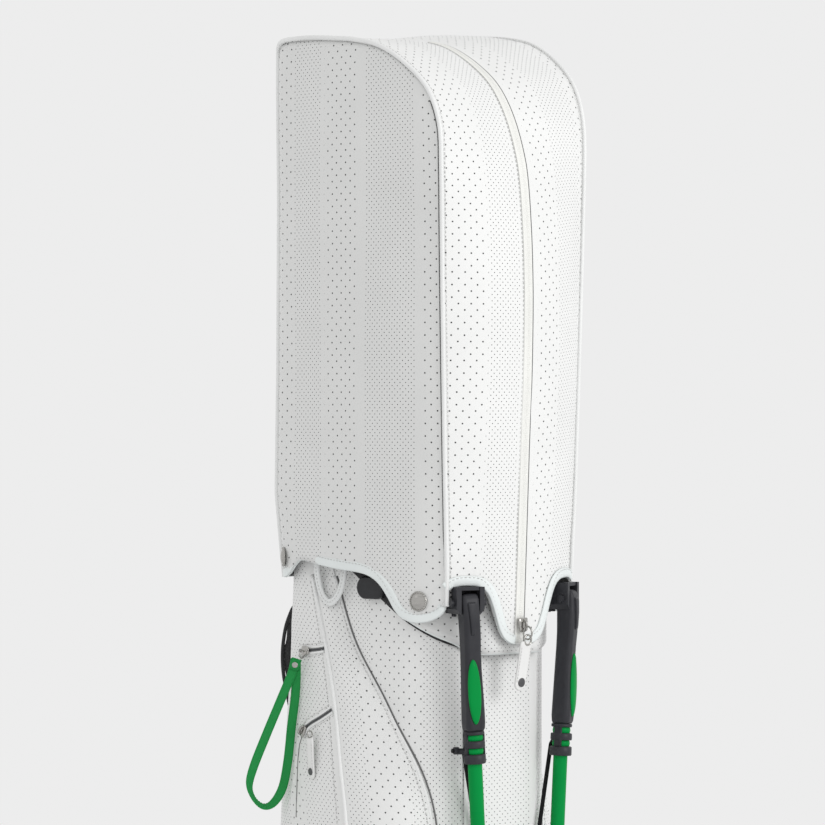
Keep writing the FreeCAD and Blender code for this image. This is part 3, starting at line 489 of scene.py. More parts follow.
def perforated(name, zones, color=(0.825, 0.828, 0.82), low=-0.13, high=0.13):
    """White leather with round holes. Zones are (start in metres along U, coarse, fine or blank)."""
    n = Nodes(name, color, 0.46)
    parts = n.add("ShaderNodeSeparateXYZ")
    n.link(n.uv(), parts.inputs["Vector"])
    u = parts.outputs["X"]
    v = parts.outputs["Y"]
    share = n.math("MULTIPLY", n.math("SUBTRACT", u, low), 1 / (high - low))
    stops = {"coarse": [], "fine": []}
    for start, kind in zones:
        at = max((start - low) / (high - low), 0.0)
        for key in stops:
            stops[key].append((at, 1.0 if kind == key else 0.0))
    coarse = n.math("MULTIPLY", hole_mask(n, u, v, *COARSE), n.ramp(share, stops["coarse"], True))
    fine = n.math("MULTIPLY", hole_mask(n, u, v, *FINE), n.ramp(share, stops["fine"], True))
    holes = n.math("MAXIMUM", coarse, fine)
    cloud = n.noise(16.0, 3.0)
    tone = n.shaded(cloud, color, 0.965)
    # The holes are coloured near-black: painted shade for the hollow inside each hole.
    tone_with_hole_shade = n.mix(n.math("MULTIPLY", holes, 0.96), tone, (0.020, 0.021, 0.022))
    grain = n.voronoi(1500.0)
    fine_grain = n.noise(2600.0, 2.0)
    height = n.spread(grain, 0.6, fine_grain)
    normal = n.bump(height, 0.22, 0.0002)
    folds = n.noise(30.0, 2.0, stretch=(1.0, 1.0, 0.25))
    normal = n.bump(folds, 0.10, 0.004, before=normal)
    normal = n.bump(n.math("SUBTRACT", 1.0, holes), 0.7, 0.0006, before=normal)
    rough = n.spread(cloud, 0.14, 0.40)
    return n.finish(tone_with_hole_shade, rough, normal, Specular_IOR_Level=0.42, Sheen_Weight=0.05)


def plain_leather(name, color, rough=0.44, grain=0.3):
    n = Nodes(name, color, rough)
    cloud = n.noise(22.0, 3.0)
    tone = n.shaded(cloud, color, 0.95)
    height = n.math("ADD", n.voronoi(1300.0), n.noise(2600.0, 2.0))
    normal = n.bump(height, grain, 0.0002)
    normal = n.bump(n.noise(70.0, 3.0), 0.08, 0.002, before=normal)
    return n.finish(tone, n.spread(cloud, 0.16, rough - 0.08), normal)


def moulded(name, color, rough, grain=0.16, scale=1800.0, wear=0.06):
    n = Nodes(name, color, rough)
    cloud = n.noise(30.0, 4.0)
    edge = n.noise(260.0, 2.0)
    tone = n.ramp(n.math("ADD", n.math("MULTIPLY", cloud, 0.7), n.math("MULTIPLY", edge, 0.3)),
                  [(0.35, color), (0.75, tuple(min(c + wear * (0.2 + c), 1.0) for c in color))])
    normal = n.bump(n.noise(scale, 2.0), grain, 0.00025)
    return n.finish(tone, n.spread(cloud, 0.18, rough - 0.09), normal,
                    Specular_IOR_Level=0.26)


def woven(name, color, pitch=0.0011, rough=0.75, use_uv=False, sheen=0.25):
    """Woven fabric: over-and-under threads, lighter on the crests of the weave and darker where it lies low:
    painted shade.
    """
    n = Nodes(name, color, rough)
    parts = n.add("ShaderNodeSeparateXYZ")
    n.link(n.uv() if use_uv else n.position(), parts.inputs["Vector"])
    u = parts.outputs["X"]
    v = parts.outputs["Y" if use_uv else "Z"]
    if not use_uv:
        u = n.math("ADD", u, parts.outputs["Y"])
    turn = 2 * math.pi / (2 * pitch)
    warp = n.math("SINE", n.math("MULTIPLY", u, turn))
    weft = n.math("SINE", n.math("MULTIPLY", v, turn))
    height = n.math("MULTIPLY", warp, weft)
    fuzz = n.noise(900.0, 3.0)
    height = n.math("ADD", height, n.math("MULTIPLY", fuzz, 0.6))
    # Darker where the weave lies low and lighter on its crests: painted shade between the threads.
    tone = n.shaded(n.spread(height, 0.25, 0.4), color, 0.62, 0.1)
    normal = n.bump(height, 0.5, 0.0004)
    return n.finish(tone, None, normal, Sheen_Weight=sheen, Sheen_Roughness=0.4)


def metal(name, color, rough, scratch=0.08):
    n = Nodes(name, color, rough, 1.0)
    lines = n.noise(120.0, 4.0, stretch=(1.0, 1.0, 9.0))
    tone = n.shaded(lines, color, 0.86)
    normal = n.bump(lines, scratch, 0.0003)
    return n.finish(tone, n.spread(lines, 0.12, rough - 0.05), normal)


def painted(name, color, rough=0.26):
    n = Nodes(name, color, rough)
    cloud = n.noise(14.0, 3.0)
    tone = n.shaded(cloud, color, 0.86)
    normal = n.bump(n.noise(900.0, 2.0), 0.05, 0.0002)
    return n.finish(tone, n.spread(cloud, 0.1, rough - 0.04), normal,
                    Specular_IOR_Level=0.05)


def floor_finish():
    n = Nodes("studio_floor", (0.84, 0.84, 0.84), 0.7)
    cloud = n.noise(1.2, 2.0)
    return n.finish(n.ramp(cloud, [(0.2, (0.82, 0.82, 0.82)), (0.8, (0.85, 0.85, 0.85))]))


M = {
    # The side panels' leather is darker than the band's (0.745 against 0.825): painted shade for the sides
    # turned away from the key light.
    "panel": perforated("panel_leather", [(-0.13, "coarse"), (-0.082, "blank"), (-0.074, "fine"),
                                          (-0.018, "blank"), (-0.010, "coarse"), (0.032, "blank"),
                                          (0.037, "fine"), (0.072, "coarse")], color=(0.745, 0.748, 0.74)),
    "band": perforated("band_leather", [(-0.13, "coarse"), (-0.050, "blank"), (-0.048, "fine"),
                                        (-0.015, "blank"),
                                        (0.006, "coarse"), (0.034, "blank"), (0.036, "fine"),
                                        (0.080, "blank"),
                                        (0.082, "coarse")]),
    "body": perforated("body_leather", [(-0.30, "fine"), (-0.140, "coarse"), (-0.083, "fine"),
                                        (-0.004, "blank"),
                                        (0.004, "fine"), (0.083, "coarse"), (0.140, "fine")],
                       color=(0.81, 0.813, 0.805), low=-0.30, high=0.30),
    "pocket": perforated("pocket_leather", [(-0.13, "fine"), (-0.062, "coarse"), (-0.026, "fine"),
                                            (-0.006, "blank"), (0.006, "fine"), (0.050, "coarse"),
                                            (0.076, "fine")],
                         color=(0.80, 0.803, 0.795)),
    "front": perforated("front_leather", [(-0.13, "blank"), (0.012, "fine"), (0.068, "blank")]),
    "white": plain_leather("white_leather", (0.83, 0.835, 0.83)),
    "binding": plain_leather("hem_binding", (0.80, 0.84, 0.835), rough=0.36, grain=0.12),
    "tab": plain_leather("tab_leather", (0.80, 0.80, 0.79), rough=0.5),
    "shade": plain_leather("seam_shade", (0.14, 0.14, 0.14), rough=0.7),
    "thread": woven("white_thread", (0.74, 0.74, 0.73), pitch=0.0006),
    "lining": woven("lining", (0.20, 0.205, 0.21), pitch=0.0008),
    "plastic": moulded("black_plastic", (0.022, 0.0225, 0.0275), 0.40),
    "gloss": moulded("black_gloss", (0.016, 0.017, 0.019), 0.22, grain=0.06),
    "fabric": woven("black_fabric", (0.022, 0.022, 0.024), pitch=0.0010),
    "mesh": woven("black_mesh", (0.030, 0.030, 0.032), pitch=0.0018),
    "rubber": moulded("rubber", (0.018, 0.018, 0.019), 0.78, grain=0.3),
    "green_tube": painted("green_tube", (0.0025, 0.275, 0.055)),
    "green_plastic": painted("green_plastic", (0.0025, 0.265, 0.052)),
    "green_webbing": woven("green_webbing", (0.002, 0.300, 0.055), pitch=0.0009, use_uv=True, sheen=0.0),
    "webbing": woven("black_webbing", (0.026, 0.026, 0.028), pitch=0.0013, use_uv=True),
    "rod": painted("rod_coating", (0.014, 0.014, 0.015), rough=0.34),
    "chrome": metal("polished_nickel", (0.46, 0.45, 0.43), 0.10),
    "steel": metal("steel", (0.56, 0.56, 0.57), 0.34),
    "rivet": metal("gunmetal", (0.13, 0.13, 0.135), 0.30),
    "track": moulded("zip_track", (0.055, 0.056, 0.060), 0.55, grain=0.5, scale=500.0),
    "coil": moulded("zip_coil", (0.80, 0.80, 0.77), 0.5, grain=0.3, scale=700.0),
    "tpu": moulded("towel_loop_plastic", (0.74, 0.755, 0.75), 0.3, grain=0.05),
    "glass": moulded("fibreglass", (0.10, 0.10, 0.10), 0.5),
}


# ------------------------------------------------------------------ rain hood

FRONT_CORNER = [(760.0, 80.0), (830.0, 81.5), (900.0, 84.5), (1000.0, 88.0), (1100.0, 91.0), (1180.0, 93.0)]
BACK_CORNER = [(812.0, 91.0), (830.0, 93.5), (888.0, 100.5), (1000.0, 98.5), (1160.0, 97.5), (1250.0, 99.0)]
CORNER_SHIFT = [(760.0, 2.5), (880.0, 0.0), (1000.0, -1.5), (1180.0, -3.6), (1250.0, -2.0), (1300.0, 0.0)]
MIDDLE_SHIFT = [(960.0, 2.0), (1080.0, -1.0), (1180.0, -3.6), (1250.0, -2.0), (1300.0, 0.0)]
SIDE_MIDDLE = 101.0
SEAM_FRONT = -99.0
SEAM_BACK = 98.0
HEM_Z = 755.0
LEATHER = 1.8
HEM_WIDTH = 8.2
HEM_SEWN = 7.0
ZIP_X = -5.5


def side_half(y, z=796.0):
    """Half width of the hood at depth y and height z, in mm."""
    share = min(max((y + 0.5) / 98.5, -1.0), 1.0)
    mix = 0.5 + 0.5 * share
    corner = lookup(FRONT_CORNER, z) * (1.0 - mix) + lookup(BACK_CORNER, z) * mix
    turned_in = max((y - 84.0) / 14.0, 0.0)
    return corner + (SIDE_MIDDLE - corner) * (1.0 - share * share) - 10.0 * min(turned_in, 1.0) ** 2


def settle(x, y, z):
    """Leans a point the way the soft hood sits: back at the top of the front, a little high at +X."""
    forward = unit(-y / 99.0)
    t = unit((x + 20.0) / 110.0)
    high = unit((z - 800.0) / 450.0)
    lift = (4.0 + 9.0 * high) * t * t * (3.0 - 2.0 * t)
    off_middle = min(abs(x - ZIP_X) / 30.0, 1.0)
    shift = lookup(CORNER_SHIFT, z) * off_middle + lookup(MIDDLE_SHIFT, z) * (1.0 - off_middle)
    backward = 6.0 * unit((y - 84.0) / 14.0)
    return mm(x, y + shift * forward + backward, z + lift)


def wave(a, b, seed, size=1.0):
    """Slow unevenness of soft leather, in mm."""
    return size * (noise.noise(Vector((a * 0.016, b * 0.0065, seed)))
                   + 0.5 * noise.noise(Vector((a * 0.05, b * 0.018, seed + 7.0))))


SEAM_TOP = [(-98.9, 1180.0), (-98.6, 1206.0), (-95.0, 1226.0), (-87.6, 1240.8),
            (-78.0, 1252.5), (-66.8, 1263.0), (-52.0, 1274.0), (-37.0, 1281.8), (-15.0, 1288.0),
            (20.0, 1293.0),
            (52.0, 1295.5), (80.0, 1295.6), (91.0, 1293.0), (96.5, 1287.0), (98.0, 1277.0)]
STATIONS = [((-121.0, 1125.0), (-99.0, 1125.0)), ((-114.5, 1175.0), (-98.95, 1172.0)),
            ((-102.0, 1217.0), (-97.6, 1212.0)), ((-84.0, 1248.6), (-86.0, 1243.0)),
            ((-60.0, 1270.0), (-62.0, 1267.0)), ((-31.0, 1286.4), (-34.0, 1283.2)),
            ((-5.0, 1293.8), (-5.0, 1290.2)), ((20.0, 1297.5), (20.0, 1293.0)),
            ((50.0, 1299.5), (50.0, 1295.4)),
            ((80.0, 1300.0), (80.0, 1295.6)), ((99.0, 1296.5), (91.0, 1293.0)),
            ((109.0, 1289.0), (96.5, 1287.0)),
            ((114.0, 1278.0), (98.0, 1277.0)), ((115.0, 1262.0), (98.0, 1260.0))]
SIDE_HEM = smooth_table([(-99.0, 791.0), (-95.0, 785.0), (-88.0, 780.5), (-80.0, 778.2), (-70.0, 777.6),
                         (-60.0, 780.5), (-52.0, 787.0), (-44.0, 799.0), (-36.0, 809.0), (-26.0, 816.0),
                         (-12.0, 820.0), (20.0, 823.0), (48.0, 826.5), (62.0, 829.0), (70.0, 828.0),
                         (78.0, 822.0), (86.0, 815.0), (93.0, 812.5), (98.0, 812.5)])
FRONT_HEM = smooth_table([(0.0, 756.0), (12.0, 757.0), (20.0, 760.0), (27.0, 767.0), (32.5, 779.0),
                          (37.0, 791.0),
                          (43.0, 802.5), (51.0, 808.5), (62.0, 810.0), (74.0, 809.0), (82.0, 803.5),
                          (88.0, 792.0)])
FRONT_Z = 860.0
PIPE_LOW = 790.0


def front_mid(z):
    if z < 980.0:
        return -115.0 - 10.0 * (z - 740.0) / 240.0
    return lookup([(980.0, -125.0), (1030.0, -125.3), (1074.0, -124.4), (1125.0, -121.0)], z)


def band_stations():
    """Middle and seam points (Y, Z) of the hood's band, from the front hem over the top to the back hem."""
    rows = [((front_mid(z), z), (SEAM_FRONT, z)) for z in (HEM_Z, 800.0, 860.0, 920.0, 980.0, 1030.0, 1074.0)]
    rows += STATIONS
    rows += [((115.0, z), (SEAM_BACK, z)) for z in (1200.0, 1120.0, 1040.0, 960.0, 880.0, 840.0, 812.5)]
    return rows


def band_rows(columns=48):
    stations = band_stations()
    mids = catmull([Vector((0, m[0], m[1])) for m, e in stations], 9)
    edges = catmull([Vector((0, e[0], e[1])) for m, e in stations], 9)
    rows = []
    uvs = []
    run = mids[0].z
    for i, (m, e) in enumerate(zip(mids, edges)):
        if i:
            run += (m - mids[i - 1]).length
        half = side_half(e.y, e.z)
        row = []
        uv_row = []
        for j in range(columns + 1):
            t = -1.0 + 2.0 * j / columns
            x = t * half
            bow = 1.0 - t * t
            y = e.y + (m.y - e.y) * bow
            z = e.z + (m.z - e.z) * bow
            v = run
            if y < -60.0 and z < FRONT_Z:
                low = lookup(FRONT_HEM, abs(x))
                z = low + (z - HEM_Z) / (FRONT_Z - HEM_Z) * (FRONT_Z - low)
                v = z
            push = wave(x, run, 3.0, 1.1) * (1.0 - abs(t) ** 4) * (0.2 if abs(x) < 12.0 else 1.0)
            out = Vector((0, m.y - 5.0, m.z - 1150.0 if m.z > 1150.0 else 0.0)).normalized()
            row.append(settle(x, y + out.y * push, z + out.z * push))
            uv_row.append((x * MM, v * MM))
        rows.append(row)
        uvs.append(uv_row)
    return rows, uvs, mids, edges


BAND_ROWS, BAND_UVS, MIDS, EDGES = band_rows()


def seam_z(y):
    """Height of the panel's curved top edge at depth y."""
    return lookup(SEAM_TOP, y)


def panel_point(y, z, side, push=0.0):
    near_top = max(0.0, 1.0 - (seam_z(y) - z) / 22.0)
    x = side_half(y, z) - 0.9 * near_top ** 2 + push
    return settle(side * x, y, z)


def panel(side):
    """One D-shaped side panel of the hood, -1 left, 1 right."""
    depths = [-99.0, -98.85, -98.5, -97.3, -95.4, -92.5, -89.0, -84.0, -78.0, -71.0]
    depths += [-71.0 + 159.0 * k / 40 for k in range(1, 41)]
    depths += [91.0, 94.0, 96.5, 97.6, 98.0]

    def spot(y, share):
        low = lookup(SIDE_HEM, y)
        top = seam_z(y)
        z = low + (top - low) * share
        edge = unit(min((y - SEAM_FRONT) / 14.0, (SEAM_BACK - y) / 14.0, (top - z) / 20.0))
        push = wave(y, z, 11.0 + side, 1.6) * edge + 1.2 * edge
        return panel_point(y, z, side, push), (y * MM, z * MM)

    name = "hood_panel_" + SIDE_NAME[side]
    obj = surface(name, depths, [k / 74 for k in range(75)], spot, M["panel"], flip=side > 0)
    return thicken(obj, LEATHER, M["lining"])


def hem_binding(points, normals):
    """Folded strip over the hood's lower edge."""
    width = HEM_WIDTH
    section = [(0.2, 0.15), (-0.4, 0.9), (0.4, 1.35), (width * 0.25, 1.5), (width * 0.5, 1.5),
               (width * 0.75, 1.4),
               (width * 0.94, 1.15), (width, 0.6), (width, -0.2), (width * 0.5, -0.3), (0.3, -2.1),
               (-0.5, -1.4),
               (-0.7, 0.0)]
    return sweep("binding", points, normals, [(-s, u) for s, u in section], M["binding"])


def hem_thread(points, normals):
    """Row of thread through the binding."""
    sewn = [p + Z_AXIS * (HEM_SEWN * MM) + n * (1.6 * MM) for p, n in zip(points, normals)]
    return stitches("hem_thread", sewn, normals, M["thread"], lift=0.0)


def build_hood():
    band = grid("hood_band", BAND_ROWS, M["band"], BAND_UVS)
    band = thicken(band, LEATHER, M["lining"])
    place(band, "hood", "hood_leather", "hood_shell")
    for side in (-1, 1):
        place(panel(side), "hood", "hood_leather")

    bindings = []
    threads = []
    for side in (-1, 1):
        points = []
        normals = []
        for k in range(71):
            y = 97.5 - 196.0 * k / 70
            points.append(panel_point(y, lookup(SIDE_HEM, y), side, 0.6))
            normals.append(Vector((side, (y + 0.5) * 0.0027, 0)).normalized())
        if side > 0:
            points.reverse()
            normals.reverse()
        bindings.append(hem_binding(points, normals))
        threads.append(hem_thread(points, normals))
    for start, stop in ((-80.6, ZIP_X - 6.0), (ZIP_X + 6.0, 80.6)):
        points = []
        normals = []
        for k in range(61):
            x = start + (stop - start) * k / 60
            z = lookup(FRONT_HEM, abs(x))
            bow = 1.0 - (x / side_half(SEAM_FRONT, z)) ** 2
            y = SEAM_FRONT + (front_mid(z) - SEAM_FRONT) * bow
            points.append(settle(x, y - 0.4, z))
            normals.append(Vector((x * 0.0055, -1, 0)).normalized())
        bindings.append(hem_binding(points, normals))
        threads.append(hem_thread(points, normals))
    points = []
    normals = []
    for k in range(41):
        x = 80.6 - 161.2 * k / 40
        points.append(settle(x, 98.0 + 17.0 * (1.0 - (x / 81.0) ** 2) + 0.4, 812.5))
        normals.append(Vector((x * 0.0045, 1, 0)).normalized())
    bindings.append(hem_binding(points, normals))
    place(join(bindings, "hood_hem_binding"), "hood", "binding", "hood_binding")

    pipes = []
    shadows = []
    for side in (-1, 1):
        path = []
        outs = []
        for e in EDGES:
            half = side_half(e.y, e.z)
            z = e.z
            if e.y < -60.0 and z < FRONT_Z:
                z = PIPE_LOW + (z - HEM_Z) / (FRONT_Z - HEM_Z) * (FRONT_Z - PIPE_LOW)
            away = Vector((0, e.y * 0.9 if z < 1200.0 else e.y * 0.6, max(z - 1180.0, 0.0))).normalized()
            out = (away + Vector((side * 0.9, 0, 0))).normalized()
            path.append(settle(side * half, e.y, z) + out * (0.9 * MM))
            outs.append(out)
        path = path[1:]
        outs = outs[1:]
        pipes.append(sweep("pipe", path, outs, ring_section(2.0, 12), M["white"]))
        # At 3.4 mm, a row of thread beside each pipe; at 2.5 mm, a near-black strip that is painted shade
        # beside the piping, left off above 1235 mm and on the back half.
        for across in (3.4, 2.5):
            row = []
            ups = []
            for i, (p, out) in enumerate(zip(path, outs)):
                if across < 3.0 and (p.z > 1.235 or p.y > 0):
                    continue
                lateral = heading(path, i).cross(out).normalized() * side
                inward = -1.0 if across > 3.0 else 1.0
                row.append(p + lateral * (across * inward * MM) + out * (-1.7 * MM))
                ups.append(out)
            if across > 3.0:
                threads.append(stitches("pipe_thread", row, ups, M["thread"]))
            else:
                shadows.append(sweep("pipe_groove", row, ups, strip_section(0.32, -0.8, 0.3, 0.22),
                                     M["shade"]))
    place(join(pipes, "hood_seam_piping"), "hood", "white_leather", "hood_piping")
    place(join(shadows, "hood_seam_groove"), "hood", "hood_leather")
    place(join(threads, "hood_stitching"), "hood", "white_leather")
    build_hood_zip()


def crest_path(z_start, y_end, x):
    path = []
    ups = []
    for i, m in enumerate(MIDS):
        if m.z < z_start and m.y < 0 or m.y > y_end:
            continue
        along = heading(MIDS, i)
        path.append(settle(x, m.y, m.z))
        ups.append(Vector((0, -along.z, along.y)))
    return path, ups


def build_hood_zip():
    """Cream coil zip on the front, with its tape, a row of thread and, along its right edge, a near-black
    strip that is painted shade for the gap there.
    """
    path, ups = crest_path(757.0, -6.0, ZIP_X)
    tape = sweep("zip_tape", path, ups, [(-5.6, 0.0), (-5.5, 0.55), (-4.9, 0.75), (-3.2, 0.75), (-2.7, 0.45),
                                         (-2.2, 0.75), (-0.9, 1.0), (0.0, 1.15), (0.9, 1.0), (2.2, 0.75),
                                         (2.7, 0.45), (3.2, 0.75), (4.5, 0.75), (5.0, 0.5), (5.0, 0.0)],
                                         M["coil"])
    # Near-black strip along the zip's right edge: painted shade for the gap between zip and band.
    gap = sweep("zip_gap", [p + Vector((5.5 * MM, 0, 0)) for p in path], ups,
                strip_section(0.5, 0.1, 0.45, 0.62), M["shade"])
    points = evenly(path, 1.6 * MM)
    verts = []
    faces = []
    for i in range(len(points) - 1):
        centre = (points[i] + points[i + 1]) / 2
        along = (points[i + 1] - points[i]).normalized()
        up = Vector((0, -along.z, along.y))
        base = len(verts)
        for s, h in ((-1.7, 0.7), (-1.1, 1.22), (1.1, 1.22), (1.7, 0.7)):
            for a in (-0.5, 0.5):
                verts.append(centre + Vector((s * MM, 0, 0)) + up * (h * MM) + along * (a * MM))
        for k in range(3):
            q = base + 2 * k
            faces.append([q, q + 1, q + 3, q + 2])
        faces.append([base, base + 2, base + 4, base + 6])
        faces.append([base + 7, base + 5, base + 3, base + 1])
    teeth = new_mesh("zip_teeth", verts, faces, [M["coil"]])
    thread = stitches("zip_thread", [p + Vector((-6.6 * MM, 0, 0)) for p in path], ups, M["thread"])
    place(join([tape, gap, teeth, thread], "hood_zip_tape"), "hood", "zip_track", "hood_zip")


build_hood()


# ------------------------------------------------------------------ bag body and pockets

POCKET = [
    (820.0, [(-82, 38), (-84.6, 50), (-86, 65), (-86, 82), (-77, 95.5), (-50, 96)]),
    (757.0, [(-82, 12), (-90, 24), (-95, 38), (-94, 72), (-81, 94), (-45, 97)]),
    (704.0, [(-82, -27), (-96, -10), (-105, 16), (-102, 60), (-87, 93), (-40, 97)]),
    (650.0, [(-79, -60), (-98.4, -31), (-111.7, 2), (-108.7, 52.8), (-91.8, 93), (-38, 97.2)]),
    (592.0, [(-71, -72), (-101, -53), (-119, -13), (-116, 45), (-97, 93), (-36, 97.5)]),
    (430.0, [(-66, -76), (-104, -58), (-124, -20), (-122, 40), (-101, 92), (-34, 97.5)]),
    (185.0, [(-70, -72), (-98, -54), (-118, -16), (-115, 40), (-96, 92), (-34, 97.5)]),
    (150.0, [(-72, -66), (-92, -44), (-108, -12), (-105, 40), (-90, 90), (-36, 96.5)]),
]
ACROSS = 6
TUBE_SIDE = 84.0
TUBE_FRONT = -88.0
TUBE_BACK = 94.0
TUBE_CORNER = 50.0
POCKET_TOP = 820.0
POCKET_LOW = 150.0
SEAM_SHIFT = -1.9
ROLL_SHIFT = 3.1
SKIRT_TOP = 812.0
PANEL_HALF = 48.0
PANEL_LOW = 84.0
PANEL_TOP = 752.0


def tube_side(y, off=0.0):
    """A point on the tube's -X side at depth y, in mm, and the way it faces."""
    centre = Vector((TUBE_CORNER - TUBE_SIDE, TUBE_FRONT + TUBE_CORNER, 0))
    if y > centre.y:
        return Vector((-TUBE_SIDE - off, y, 0)), -X_AXIS
    deep = y - centre.y
    out = Vector((-math.sqrt(max(TUBE_CORNER ** 2 - deep ** 2, 1.0)), deep, 0)).normalized()
    return centre + out * (TUBE_CORNER + off), out


def pocket_section(z):
    """The six corner points of the pocket's outline at height z, as smooth curves of z."""
    heights = [row[0] for row in POCKET]
    i = 0
    while i < len(POCKET) - 2 and z < heights[i + 1]:
        i += 1
    t = unit((heights[i] - z) / (heights[i] - heights[i + 1]))
    near = [min(max(n, 0), len(POCKET) - 1) for n in (i - 1, i, i + 1, i + 2)]
    gap = [heights[n] for n in near]
    span = gap[1] - gap[2]
    points = []
    for k in range(6):
        at = [Vector((*POCKET[n][1][k], 0)) for n in near]
        slope_a = (at[2] - at[0]) / max(gap[0] - gap[2], 1.0) * span
        slope_b = (at[3] - at[1]) / max(gap[1] - gap[3], 1.0) * span
        points.append(at[1] * (2 * t ** 3 - 3 * t * t + 1) + slope_a * (t ** 3 - 2 * t * t + t)
                      + at[2] * (3 * t * t - 2 * t ** 3) + slope_b * (t ** 3 - t * t))
    return points


def outward(points, j):
    d = heading(points, j)
    return Vector((-d.y, d.x, 0))


def pocket_row(z, side):
    """Points round the pocket at height z, with their (u, v), bulging between the seams."""
    corners = pocket_section(z)
    corners[0] = tube_side(corners[0].y, 0.9)[0]
    line = catmull(corners, ACROSS)
    piping = 2 * ACROSS
    run = [0.0]
    for a, b in zip(line, line[1:]):
        run.append(run[-1] + (b - a).length)
    row = []
    uvs = []
    fade = unit((POCKET_TOP - z) / 40.0)
    for j, p in enumerate(line):
        if j <= piping:
            share = j / piping
            puff = 2.6 * math.sin(math.pi * share) * fade
            puff += 1.6 * fade * wave(z, 40.0 * share, 21.0, 1.0) * math.sin(math.pi * share)
        else:
            share = (j - piping) / (len(line) - 1 - piping)
            puff = 1.2 * math.sin(math.pi * min(share * 1.6, 1.0)) * fade
            puff += 0.9 * fade * wave(z, 90.0 * share, 27.0, 1.0) * math.sin(math.pi * share)
        out = outward(line, j)
        if out.x > 0 and j < len(line) - 3:
            out = -out
        q = p + out * puff
        row.append(mm(q.x * -side, q.y, z))
        uvs.append(((run[j] - run[piping]) * MM, z * MM))
    return row, uvs


def pocket(side):
    heights = [836.0, 828.0] + [POCKET_TOP - (POCKET_TOP - POCKET_LOW) * k / 134 for k in range(135)]
    rows = []
    uvs = []
    for z in heights:
        row, uv = pocket_row(z, side)
        rows.append(row)
        uvs.append(uv)
    middle_top = sum(rows[0], Vector()) / len(rows[0])
    middle_low = sum(rows[-1], Vector()) / len(rows[-1])
    rows.insert(0, [p.lerp(middle_top, 0.5) + Vector((0, 0, 0.0004)) for p in rows[0]])
    uvs.insert(0, [(0.2, 0.9)] * len(rows[0]))
    rows.append([p.lerp(middle_low, 0.6) - Vector((0, 0, 0.0008)) for p in rows[-1]])
    uvs.append([(0.2, 0.1)] * len(rows[0]))
    name = SIDE_NAME[side]
    shell = grid("side_pocket_" + name, rows, M["pocket"], uvs, flip=side < 0)
    place(shell, "bag", "hood_leather", "pocket_" + name)

    pipe_path = []
    pipe_ups = []
    seam_path = []
    seam_ups = []
    threads = []
    for row in rows[1:-1]:
        z = row[0].z / MM
        if z > 817.0 or z < 152.0:
            continue
        p = row[2 * ACROSS]
        across = (row[2 * ACROSS + 1] - row[2 * ACROSS - 1]).normalized()
        out = Vector((across.y, -across.x, 0)) * (1.0 if side < 0 else -1.0)
        if out.x * side < 0:
            out = -out
        pipe_path.append(p + out * (0.7 * MM))
        pipe_ups.append(out)
        first = row[0]
        spot, facing = tube_side(first.y / MM + SEAM_SHIFT)
        seam_path.append(mm(-side * spot.x, spot.y, z))
        seam_ups.append(Vector((-side * facing.x, facing.y, 0)))
        inset = row[1].lerp(row[2], 0.1)
        threads.append(inset + Vector((side * 0.3, -0.3, 0)) * MM)
    pipe = sweep("pocket_piping_" + name, pipe_path, pipe_ups, ring_section(1.7, 12), M["white"])
    place(pipe, "bag", "white_leather")
    # Near-black strip where the pocket meets the tube: painted shade in the groove there.
    seam_shade_strip = sweep("pocket_seam_" + name, seam_path, seam_ups, strip_section(0.8, -0.6, 0.7, 0.6), M["shade"])
    place(seam_shade_strip, "bag", "hood_leather")
    roll_path = []
    for p in seam_path:
        y = p.y / MM + ROLL_SHIFT
        roll_path.append(mm(-side * tube_side(y)[0].x, y, p.z / MM))
    roll = sweep("pocket_rolled_edge_" + name, roll_path, seam_ups, dome_section(1.9, 1.7), M["white"])
    place(roll, "bag", "white_leather")
    rows_of_thread = [stitches("t", threads, seam_ups, M["thread"])]
    behind = [r[2 * ACROSS + 1].lerp(r[2 * ACROSS + 2], 0.2) for r in rows[2:-2]]
    behind = [p for p in behind if 0.155 < p.z < 0.815]
    outs = [Vector((side, -0.1, 0)).normalized()] * len(behind)
    behind = [p + o * (0.25 * MM) for p, o in zip(behind, outs)]
    rows_of_thread.append(stitches("t", behind, outs, M["thread"]))
    place(join(rows_of_thread, "pocket_stitching_" + name), "bag", "white_leather")


def plan_line(offset, steps=14):
    """The tube's outline seen from above, as (X, Y) from the middle of the back, clockwise from above."""
    x = TUBE_SIDE + offset
    front = TUBE_FRONT - offset
    back = TUBE_BACK + offset
    r = TUBE_CORNER + offset
    points = []
    for cx, cy, start in ((-x + r, back - r, 90.0), (-x + r, front + r, 180.0), (x - r, front + r, 270.0),
                          (x - r, back - r, 0.0)):
        for k in range(steps + 1):
            a = math.radians(start + 90.0 * k / steps)
            points.append(Vector((cx + r * math.cos(a), cy + r * math.sin(a), 0)))
    dense = []
    for a, b in zip(points, points[1:] + points[:1]):
        parts = max(int((b - a).length / 7.0), 1)
        for k in range(parts):
            dense.append(a.lerp(b, k / parts))
    return dense


